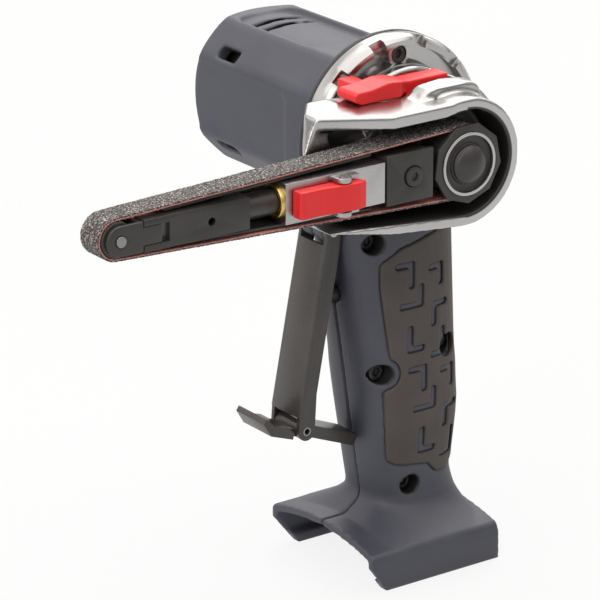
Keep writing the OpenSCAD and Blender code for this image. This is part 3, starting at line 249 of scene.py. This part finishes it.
def metalLook(name, dark, light, rough, stretch=(1, 1, 1), grain=900, lift=0.05):
    # bare metal with the lines of its machining
    look = Look(name)
    cloud = look.noise(45, 3)
    line = look.noise(grain, 2, stretch)
    look.set(Metallic=1.0, Base_Color=look.mix(look.span(cloud + line, 0.7, 1.3, 0, 1), dark, light),
             Roughness=look.span(line, 0.3, 0.7, rough * 0.8, rough * 1.25))
    look.bump(line, lift, 0.0001)
    return look.material


def castingLook(name, guardShade=None):
    # satin-polished casting; the guard's inside, where the belt runs, carries painted shade: near-black, duller and
    # not metallic
    look = Look(name)
    cloud = look.noise(25, 2)
    tone = look.mix(look.span(cloud, 0.35, 0.65, 0, 1), *casting["tones"])
    shine = look.span(look.noise(80, 2), 0.3, 0.7, casting["rough"] - casting["uneven"],
                      casting["rough"] + casting["uneven"])
    metal = 1.0
    # painted shade: the guard's inside, behind the belt, is coloured near-black
    if guardShade:
        x, y, z, reach = look.spot()
        fade = guardShade["fade"] * mm
        ahead = look.span(x, -fade, fade, 0, 1)
        lower = look.below(guardShade["lip"] * mm - guardShade["rise"] * x - z, 0.0)
        upper = look.below(z, guardShade["roof"] * mm) * look.below(x, guardShade["visor"] * mm)
        low = look.below(z, 0.0)
        paintedShade = (1 - ahead) * look.below(reach, guardShade["round"] * mm)
        paintedShade = paintedShade + ahead * lower * (low + (1 - low) * upper)
        paintedShade = paintedShade * look.span(y, guardShade["back"] * mm - fade, guardShade["back"] * mm, 0, 1)
        tone = look.mix(paintedShade, tone, guardShade["tone"])
        shine = shine + paintedShade * guardShade["dull"]
        metal = 1 - paintedShade
    look.set(Metallic=metal, Base_Color=tone, Roughness=shine)
    return look.material


def gritLook(name):
    look = Look(name)
    grain = look.cells(2200)
    patch = look.noise(1500, 3)
    fleck = look.noise(3200, 1)
    tone = look.ramp(patch + 0.35 * fleck - 0.3 * grain, [
        (0.34, (0.009, 0.008, 0.0075)), (0.47, (0.05, 0.045, 0.043)), (0.6, (0.14, 0.126, 0.12)),
        (0.74, (0.55, 0.5, 0.48))])
    look.set(Base_Color=tone, Roughness=look.span(fleck, 0.3, 0.7, 0.6, 0.95))
    look.bump(patch - grain, 0.9, 0.0005)
    return look.material


def clothLook(name):
    look = Look(name)
    weft = look.noise(1600, 2, (1, 4, 1))
    look.set(Base_Color=look.mix(look.span(weft, 0.3, 0.7, 0, 1), (0.3, 0.09, 0.08), (0.62, 0.3, 0.27)),
             Roughness=look.span(weft, 0.3, 0.7, 0.8, 0.95))
    look.bump(weft, 0.4, 0.0002)
    return look.material


# a dark and a light tone, the grain or the roughness, and what else the look takes
plasticTones = ((0.036, 0.038, 0.052), (0.048, 0.051, 0.067))
looks = {
    "moulded_plastic": mouldedLook("blueGreyMoulding", *plasticTones, 2600, 0.5),
    "handle_plastic": mouldedLook("handleMoulding", *plasticTones, 2600, 0.5, None, lumps("handle_screws")),
    # painted shade: the handle screws, deep in their wells, are coloured near-black like the painted wells
    "well_steel": mouldedLook("shadedWellSteel", (0.004, 0.004, 0.004), (0.009, 0.009, 0.009), 1300, 0.45),
    "vented_plastic": mouldedLook("barrelMoulding", *plasticTones, 2600, 0.5, barrelBoreShade),
    "grip_rubber": mouldedLook("gripRubber", (0.039, 0.032, 0.029), (0.06, 0.05, 0.045), 1500, 0.62),
    "black_plastic": mouldedLook("blackMoulding", (0.016, 0.014, 0.0125), (0.028, 0.0245, 0.022), 1800, 0.34),
    "black_rubber": mouldedLook("blackRubber", (0.012, 0.012, 0.012), (0.022, 0.021, 0.02), 1500, 0.6),
    "board": mouldedLook("circuitBoard", (0.01, 0.06, 0.03), (0.02, 0.1, 0.05), 1200, 0.5),
    "magnet": mouldedLook("magnetCeramic", (0.03, 0.03, 0.032), (0.05, 0.05, 0.052), 1500, 0.6),
    "carbon": mouldedLook("brushCarbon", (0.02, 0.02, 0.02), (0.035, 0.035, 0.036), 1800, 0.5),
    "red_plastic": mouldedLook("redMoulding", (0.54, 0.0055, 0.007), (0.65, 0.009, 0.011), 1400, 0.4),
    "polished_metal": castingLook("polishedCasting"),
    "guard_metal": castingLook("guardCasting", guardShade),
    "bright_steel": metalLook("bracketSteel", (0.34, 0.33, 0.325), (0.46, 0.45, 0.445), 0.32, (1, 12, 12),
                              500, 0.02),
    "gear_steel": metalLook("groundSteel", (0.2, 0.19, 0.19), (0.34, 0.33, 0.33), 0.4, (6, 1, 6), 600, 0.02),
    "spring_steel": metalLook("springWire", (0.45, 0.45, 0.47), (0.65, 0.65, 0.66), 0.3),
    "brass": metalLook("turnedBrass", (0.6, 0.4, 0.12), (0.8, 0.58, 0.22), 0.3, (10, 1, 1)),
    "satin_black": mouldedLook("satinBlack", (0.026, 0.0225, 0.02), (0.04, 0.035, 0.031), 1800, 0.3),
    "black_steel": mouldedLook("blackSteel", (0.014, 0.0125, 0.0115), (0.028, 0.025, 0.023), 1300, 0.36),
    "abrasive": gritLook("beltGrit"),
    "cloth": clothLook("beltBacking"),
}
print("materials made:", len(looks))


def settle(piece, node):
    # the piece stands in for the node and moves with its body
    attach(piece, bodyOf[node])
    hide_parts(node)
    return piece


def baked(piece):
    # leaves a plain mesh where the modifiers were
    bpy.context.view_layer.update()
    graph = bpy.context.evaluated_depsgraph_get()
    piece.data = bpy.data.meshes.new_from_object(piece.evaluated_get(graph))
    piece.modifiers.clear()


def smoothed(piece, sharp):
    for face in piece.data.polygons:
        face.use_smooth = True
    piece.data.set_sharp_from_angle(angle=math.radians(sharp))


def addBevel(piece, width, segments=3, angle=35):
    edge = piece.modifiers.new("edge", "BEVEL")
    edge.width, edge.segments = width * mm, segments
    edge.limit_method, edge.angle_limit = "ANGLE", math.radians(angle)
    baked(piece)


def copied(node, name, look, flat=True):
    mesh = mergedMesh(node, flat)
    mesh.materials.clear()
    mesh.materials.append(looks[look or slotOf[node]])
    piece = bpy.data.objects.new(name, mesh)
    bpy.context.scene.collection.objects.link(piece)
    return piece


def dressed(node, name, width, look=None):
    piece = copied(node, name, look)
    addBevel(piece, width)
    smoothed(piece, crease)
    return settle(piece, node)


def castSoft(node, name, voxel, rounds, look=None):
    # a casting's blunt edges: fine skin over the solid, then worn smooth
    piece = copied(node, name, look, False)
    skin = piece.modifiers.new("skin", "REMESH")
    skin.mode, skin.voxel_size, skin.use_smooth_shade = "VOXEL", voxel * mm, True
    wear = piece.modifiers.new("wear", "SMOOTH")
    wear.factor, wear.iterations = 0.5, rounds
    baked(piece)
    smoothed(piece, 180)
    return settle(piece, node)


# pieces whose edges are rounded: name, bevel in mm, and the look where it isn't the slot's
rounded = {
    "gear_case": ("gearCase", 0.5),
    "paddle": ("paddleLever", 0.6, "satin_black"),
    "lock_off_lever": ("lockOff", 0.5, "satin_black"),
    "arm_bracket": ("armBracket", 0.35),
    "arm_mount": ("armMount", 0.4),
    "arm_plate": ("armPlate", 0.25),
    "tension_rod": ("tensionRod", 0.3),
    "nose_fork": ("noseFork", 0.3),
    "drive_wheel": ("driveWheel", 0.3),
    "wheel_ring": ("wheelRing", 0.15),
    "idler_pin": ("idlerPin", 0.2, "gear_steel"),
    "rod_bush": ("rodBush", 0.3),
    "belt_platen": ("beltPlaten", 0.2),
    "roll_pin": ("rollPin", 0.1, "gear_steel"),
    "barrel_seal": ("barrelSeal", 0.2),
    "idler_wheel": ("idlerWheel", 0.3),
    "switch_plunger": ("plunger", 0.3),
}
for node, values in rounded.items():
    dressed(node, *values)
print("edges rounded on", len(rounded), "pieces")

# cast and moulded pieces with blunt edges: name, skin in mm, rounds of wear and look
blunt = {
    "head_casting": ("headCasting", 0.5, 26, "guard_metal"),
    "head_lock_lever": ("headLock", 0.35, 9),
    "tension_latch": ("tensionLatch", 0.35, 8),
    "motor_barrel": ("barrel", 0.7, 9, "vented_plastic"),
    "front_handle_half": ("frontHandle", 0.6, 9, "handle_plastic"),
    "rear_handle_half": ("rearHandle", 0.6, 9),
    "wheel_cap": ("wheelCap", 0.25, 4),
    "front_grip_pad": ("frontGripPad", 0.45, 4),
    "rear_grip_pad": ("rearGripPad", 0.45, 4),
}
softened = {node: castSoft(node, *values) for node, values in blunt.items()}
print("castings smoothed:", {piece.name: len(piece.data.polygons) for piece in softened.values()})

# the wheel's cap is a low dome, raised from the skin of its face, in mm
dome = {"radius": 6.2, "rise": 1.1, "skin": 0.9}


def crowned(piece):
    front = max(vert.co.y for vert in piece.data.vertices)
    for vert in piece.data.vertices:
        share = math.hypot(vert.co.x, vert.co.z - axisHeight * mm) / (dome["radius"] * mm)
        if share < 1 and vert.co.y > front - dome["skin"] * mm:
            vert.co.y += dome["rise"] * mm * (1 - share * share)


crowned(softened["wheel_cap"])

# the other solids keep their meshes and take a finish
remade = ("abrasive_belt", "tension_spring", "lock_spring", "arm_screw", "case_screws", "handle_screws")
for node, piece in nodes.items():
    if piece.hide_render or node in remade:
        continue
    piece.data.materials.clear()
    piece.data.materials.append(looks[slotOf[node]])
print("finishes set on the remaining solids")


class Shape(Graph):
    # a Geometry Nodes tree with named sizes
    kinds = {float: "NodeSocketFloat", int: "NodeSocketInt"}

    def __init__(self, name, sizes):
        self.name, self.sizes = name, sizes
        self.tree = bpy.data.node_groups.new(name, "GeometryNodeTree")
        self.tree.interface.new_socket("Geometry", in_out="INPUT", socket_type="NodeSocketGeometry")
        self.tree.interface.new_socket("Geometry", in_out="OUTPUT", socket_type="NodeSocketGeometry")
        self.keys = {size: self.tree.interface.new_socket(
            size, in_out="INPUT", socket_type=self.kinds[type(value)]).identifier for size, value in sizes.items()}
        self.inputs = self.tree.nodes.new("NodeGroupInput")
        self.outputs = self.tree.nodes.new("NodeGroupOutput")
        self.start = self.size("Geometry")

    def size(self, name):
        return Wire(self, self.inputs.outputs[name])

    def vector(self, x, y, z):
        return self.node("ShaderNodeCombineXYZ", sockets={"X": x, "Y": y, "Z": z})

    def dice(self, low, high, seed):
        made = self.tree.nodes.new("FunctionNodeRandomValue")
        made.data_type = "FLOAT"
        for key, value in ((2, low), (3, high), (8, seed)):
            self.feed(made.inputs[key], value)
        return Wire(self, made.outputs[1])

    def painted(self, geometry, look):
        whole = self.node("GeometryNodeRealizeInstances", sockets={"Geometry": geometry})
        return self.node("GeometryNodeSetMaterial", sockets={"Geometry": whole, "Material": looks[look]})

    def join(self, *parts):
        return self.node("GeometryNodeJoinGeometry", sockets={"Geometry": list(parts)})

    def plainMesh(self, points, edges, result):
        # runs the tree on a few points and leaves an ordinary mesh
        self.tree.links.new(result.socket, self.outputs.inputs[0])
        seedMesh = bpy.data.meshes.new(self.name)
        seedMesh.from_pydata(points, edges, [])
        piece = bpy.data.objects.new(self.name, seedMesh)
        bpy.context.scene.collection.objects.link(piece)
        run = piece.modifiers.new("shape", "NODES")
        run.node_group = self.tree
        for size, value in self.sizes.items():
            run[self.keys[size]] = value
        baked(piece)
        return piece


def outward(piece):
    work = bmesh.new()
    work.from_mesh(piece.data)
    bmesh.ops.recalc_face_normals(work, faces=work.faces)
    work.to_mesh(piece.data)
    work.free()


# belt: cloth backing, a layer of grit on it, and loose threads along the cut edges
belt = {"drive": 11.2, "idler": 5.9, "base": 129.6, "back": 32.3, "width": 9.5,
        "cloth": 0.5, "grit": 0.48, "grain": 0.09, "fray": 0.05, "step": 0.45,
        "threads": 900, "thread": 0.45, "tip": 0.01, "root": 0.05, "lean": 0.9, "shortest": 0.2}


def beltLoop(steps=80):
    tilt = math.acos((belt["drive"] - belt["idler"]) / belt["base"])
    middle = belt["back"] + belt["width"] / 2
    loop = []
    for centre, radius, first, turn in ((0, belt["drive"], tilt, 2 * math.pi - 2 * tilt),
                                        (belt["base"], belt["idler"], -tilt, 2 * tilt)):
        for i in range(steps + 1):
            a = first + turn * i / steps
            x, z = centre + radius * math.cos(a), axisHeight + radius * math.sin(a)
            loop.append((x * mm, middle * mm, z * mm))
    return loop


def beltLayer(tree, path, thick, under, roughness, seed):
    # a band with a ragged surface; under is what lies beneath it
    cut = tree.node("GeometryNodeCurvePrimitiveQuadrilateral", {"mode": "RECTANGLE"},
                    {"Width": tree.size("Width"), "Height": thick})
    cut = tree.node("GeometryNodeTransform", sockets={
        "Geometry": cut, "Translation": tree.vector(0.0, (under + thick * 0.5) * -1.0, 0.0)})
    cut = tree.node("GeometryNodeResampleCurve", {"mode": "LENGTH"}, {"Curve": cut, "Length": tree.size("Step")})
    band = tree.node("GeometryNodeCurveToMesh", sockets={"Curve": path, "Profile Curve": cut})
    lift = tree.dice(-1.0, 1.0, seed) * roughness
    push = tree.node("ShaderNodeVectorMath", {"operation": "SCALE"}, {
        0: tree.node("GeometryNodeInputNormal"), "Scale": lift})
    return tree.node("GeometryNodeSetPosition", sockets={"Geometry": band, "Offset": push})


def beltThreads(tree, path, side):
    row = tree.node("GeometryNodeResampleCurve", {"mode": "COUNT"}, {"Curve": path, "Count": tree.size("Threads")})
    row = tree.node("GeometryNodeTransform", sockets={
        "Geometry": row, "Translation": tree.vector(0.0, tree.size("Width") * (0.5 * side), 0.0)})
    thread = tree.node("GeometryNodeMeshCone", sockets={
        "Vertices": 4, "Radius Top": belt["tip"] * mm, "Radius Bottom": belt["root"] * mm,
        "Depth": tree.size("Thread")})
    lean = belt["lean"]
    turn = tree.vector(tree.dice(-lean, lean, 3 + side) - side * math.pi / 2, 0.0, tree.dice(-lean, lean, 5 + side))
    grow = tree.dice(belt["shortest"], 1.0, 8 + side)
    return tree.node("GeometryNodeInstanceOnPoints", sockets={
        "Points": row, "Instance": thread, "Rotation": turn, "Scale": tree.vector(1.0, 1.0, grow)})


def makeBelt():
    tree = Shape("abrasiveBelt", {
        "Width": (belt["width"] - 2 * belt["grain"]) * mm, "Cloth": belt["cloth"] * mm, "Grit": belt["grit"] * mm,
        "Grain": belt["grain"] * mm, "Fray": belt["fray"] * mm, "Step": belt["step"] * mm,
        "Threads": belt["threads"], "Thread": belt["thread"] * mm, "Seed": 7})
    path = tree.node("GeometryNodeMeshToCurve", sockets={"Mesh": tree.start})
    path = tree.node("GeometryNodeResampleCurve", {"mode": "LENGTH"}, {"Curve": path, "Length": tree.size("Step")})
    path = tree.node("GeometryNodeSetCurveNormal", {"mode": "FREE"}, {"Curve": path, "Normal": (0, 1, 0)})
    cloth = beltLayer(tree, path, tree.size("Cloth"), 0.0, tree.size("Fray"), tree.size("Seed"))
    grit = beltLayer(tree, path, tree.size("Grit"), tree.size("Cloth") - tree.size("Grain"), tree.size("Grain"),
                     tree.size("Seed"))
    backing = tree.painted(tree.join(cloth, beltThreads(tree, path, 1), beltThreads(tree, path, -1)), "cloth")
    loop = beltLoop()
    edges = [(i, (i + 1) % len(loop)) for i in range(len(loop))]
    piece = tree.plainMesh(loop, edges, tree.join(backing, tree.painted(grit, "abrasive")))
    outward(piece)
    return settle(piece, "abrasive_belt")


beltPiece = makeBelt()
print("belt made:", len(beltPiece.data.polygons), "faces")

# round-wire springs, where the CAD has its coils: wire radius in mm, the axis they stand on, and the joint
# that presses them down to a share of their length
springs = {
    "tension_spring": {"name": "tensionSpring", "turns": 6.0, "wire": 0.4, "axis": 0,
                       "joint": "tension_slide", "keep": 0.48},
    "lock_spring": {"name": "lockSpring", "turns": 4.0, "wire": 0.35, "axis": 2,
                    "joint": "head_lock_tilt", "keep": 0.7},
}


def makeSpring(node, spring):
    low, high = (Vector(corner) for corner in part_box(node))
    axis, across = spring["axis"], (spring["axis"] + 1) % 3
    wire = spring["wire"] * mm
    tree = Shape(spring["name"], {"Turns": spring["turns"], "Radius": (high - low)[across] / 2 - wire,
                                  "Height": (high - low)[axis] - 2 * wire, "Wire": wire, "Steps": 28})
    coil = tree.node("GeometryNodeCurveSpiral", sockets={
        "Resolution": tree.size("Steps"), "Rotations": tree.size("Turns"), "Start Radius": tree.size("Radius"),
        "End Radius": tree.size("Radius"), "Height": tree.size("Height")})
    ring = tree.node("GeometryNodeCurvePrimitiveCircle", sockets={"Resolution": 10, "Radius": tree.size("Wire")})
    rod = tree.node("GeometryNodeCurveToMesh", sockets={"Curve": coil, "Profile Curve": ring, "Fill Caps": True})
    piece = tree.plainMesh([(0, 0, 0)], [], tree.painted(rod, slotOf[node]))
    foot = (low + high) / 2
    foot[axis] = low[axis] + wire
    lean = Matrix.Rotation(math.pi / 2, 4, "Y") if axis == 0 else Matrix.Identity(4)
    piece.data.transform(Matrix.Translation(foot) @ lean)
    outward(piece)
    smoothed(piece, 60)
    settle(piece, node)
    lean.to_3x3() @ Vector((0, 0, 1))
    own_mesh(piece)


for node, spring in springs.items():
    makeSpring(node, spring)
print("springs made:", len(springs))

# screws with six-lobed sockets, each at a solid of its node, all heads towards the belt side
screws = {
    "case_screws": {"name": "caseScrews", "head": 3.0, "shank": 1.5, "socket": 1.7, "deep": 1.2, "edge": 0.3},
    "handle_screws": {"name": "handleScrews", "look": "well_steel", "head": 2.4, "shank": 1.5, "socket": 1.7,
                      "deep": 1.2, "edge": 0.3},
    "arm_screw": {"name": "armScrew", "head": 1.4, "shank": 1.5, "socket": 1.6, "deep": 0.9, "edge": 0.25},
}
# how far the socket goes in between its lobes
lobeShare = 0.74


def makeScrews(node, screw):
    solids = lumps(node)
    low, high = (Vector(corner) for corner in solids[0])
    tree = Shape(screw["name"], {
        "Head": (high - low)[0] / 2, "Tall": screw["head"] * mm, "Shank": screw["shank"] * mm,
        "Length": (high - low)[1] - screw["head"] * mm, "Socket": screw["socket"] * mm, "Deep": screw["deep"] * mm})
    head = tree.node("GeometryNodeMeshCylinder", sockets={
        "Vertices": 48, "Radius": tree.size("Head"), "Depth": tree.size("Tall")})
    head = tree.node("GeometryNodeTransform", sockets={
        "Geometry": head, "Translation": tree.vector(0.0, 0.0, tree.size("Tall") * -0.5)})
    shank = tree.node("GeometryNodeMeshCylinder", sockets={
        "Vertices": 32, "Radius": tree.size("Shank"), "Depth": tree.size("Length")})
    halfway = (tree.size("Tall") + tree.size("Length") * 0.5) * -1.0
    shank = tree.node("GeometryNodeTransform", sockets={
        "Geometry": shank, "Translation": tree.vector(0.0, 0.0, halfway)})
    lobes = tree.node("GeometryNodeCurveStar", sockets={
        "Points": 6, "Inner Radius": tree.size("Socket") * lobeShare, "Outer Radius": tree.size("Socket")})
    lobes = tree.node("GeometryNodeFillCurve", {"mode": "NGONS"}, {"Curve": lobes})
    base = tree.node("GeometryNodeTransform", sockets={
        "Geometry": lobes, "Translation": tree.vector(0.0, 0.0, tree.size("Deep") * -1.0)})
    wall = tree.node("GeometryNodeExtrudeMesh", sockets={
        "Mesh": base, "Offset Scale": tree.size("Deep") * 2.0, "Individual": False})
    plug = tree.join(wall, tree.node("GeometryNodeFlipFaces", sockets={"Mesh": base}))
    plug = tree.node("GeometryNodeMergeByDistance", sockets={"Geometry": plug, "Distance": 1e-6})
    cut = tree.node("GeometryNodeMeshBoolean", {"operation": "DIFFERENCE", "solver": "EXACT"}, {
        "Mesh 1": head, "Mesh 2": plug})
    whole = tree.node("GeometryNodeInstanceOnPoints", sockets={
        "Points": tree.start, "Instance": tree.join(cut, shank), "Rotation": tree.vector(-math.pi / 2, 0.0, 0.0)})
    tops = [((a[0] + b[0]) / 2, b[1], (a[2] + b[2]) / 2) for a, b in solids]
    piece = tree.plainMesh(tops, [], tree.painted(whole, screw.get("look", slotOf[node])))
    addBevel(piece, screw["edge"], 2, 60)
    smoothed(piece, crease)
    return settle(piece, node)


for node, screw in screws.items():
    made = makeScrews(node, screw)
    print(screw["name"], len(made.data.polygons), "faces")
print("screws made:", len(screws))

# pale floor, wide soft lamps and a bright surround; lamps have a place, a width in m and a power in W
studio = {
    "floor": 4.0, "paper": ((0.5, 0.5, 0.5), (0.55, 0.55, 0.55)), "glow": 0.86,
    "lamps": {"key": ((-0.5, 1.3, 1.3), 0.9, 2), "fill": ((1.4, 0.5, 0.8), 1.2, 9),
              "rim": ((-0.9, -0.8, 1.2), 1.4, 10), "top": ((0.1, 0.0, 1.5), 3.0, 52)},
    "aim": (0.02, 0, 0.1), "warm": (1.0, 0.97, 0.945),
    "surround": 1.5, "near": 0.65, "turn": (-0.3, 0.7),
    "sky": [(0.54, (0.68, 0.67, 0.66)), (0.555, (0.05, 0.049, 0.048)), (0.575, (0.05, 0.049, 0.048)),
            (0.63, (1.0, 0.975, 0.95)), (0.71, (1.0, 0.975, 0.95)), (0.85, (0.22, 0.215, 0.21))],
}


def makeFloor():
    mesh = bpy.data.meshes.new("floor")
    half = studio["floor"]
    mesh.from_pydata([(-half, -half, 0), (half, -half, 0), (half, half, 0), (-half, half, 0)], [], [(0, 1, 2, 3)])
    floor = bpy.data.objects.new("floor", mesh)
    bpy.context.scene.collection.objects.link(floor)
    paper = Look("paleFloor")
    paper.set(Base_Color=paper.mix(paper.span(paper.noise(3, 2), 0.3, 0.7, 0, 1), *studio["paper"]),
              Roughness=0.9, Specular_IOR_Level=0.0)
    # near white where the camera, metal and glass see it, without more light on the part
    rays = paper.tree.nodes.new("ShaderNodeLightPath")
    seen = Wire(paper, rays.outputs["Is Camera Ray"]) + Wire(paper, rays.outputs["Is Glossy Ray"])
    seen = seen + Wire(paper, rays.outputs["Is Transmission Ray"])
    glow = paper.node("ShaderNodeEmission", sockets={"Color": (1, 1, 1), "Strength": 1.0})
    share = paper.node("ShaderNodeMath", {"operation": "MINIMUM"}, {0: seen, 1: 1.0}) * studio["glow"]
    blend = paper.node("ShaderNodeMixShader", sockets={
        0: share, 1: Wire(paper, paper.shader.outputs[0]), 2: glow})
    paper.tree.links.new(blend.socket, paper.tree.nodes["Material Output"].inputs["Surface"])
    mesh.materials.append(paper.material)


def makeLamps():
    for name, (place, width, power) in studio["lamps"].items():
        lamp = bpy.data.objects.new(name + "Lamp", bpy.data.lights.new(name + "Lamp", "AREA"))
        lamp.data.energy, lamp.data.size, lamp.data.color = power, width, studio["warm"]
        lamp.location = place
        lamp.rotation_mode = "QUATERNION"
        lamp.rotation_quaternion = (Vector(studio["aim"]) - Vector(place)).to_track_quat("-Z", "Y")
        bpy.context.scene.collection.objects.link(lamp)


def makeSurround():
    world = bpy.data.worlds.new("surround")
    bpy.context.scene.world = world
    world.use_nodes = True
    sky = Graph()
    sky.tree = world.node_tree
    spot = sky.node("ShaderNodeTexCoord", out="Generated")
    rise = sky.node("ShaderNodeSeparateXYZ", sockets={"Vector": spot}, out="Z") * 0.5 + 0.5
    ahead = sky.node("ShaderNodeSeparateXYZ", sockets={"Vector": spot}, out="Y")
    # the photographer's side of the room is darker
    level = sky.node("ShaderNodeMapRange", sockets={
        "Value": ahead, "From Min": studio["turn"][0], "From Max": studio["turn"][1],
        "To Min": studio["surround"], "To Max": studio["near"]})
    tone = sky.node("ShaderNodeValToRGB", {"stops": studio["sky"]}, {"Fac": rise}, "Color")
    ground = sky.tree.nodes["Background"]
    sky.feed(ground.inputs["Color"], tone)
    sky.feed(ground.inputs["Strength"], level)


makeFloor()
makeLamps()
makeSurround()
bpy.context.scene.view_settings.view_transform = "Standard"
print("studio set")
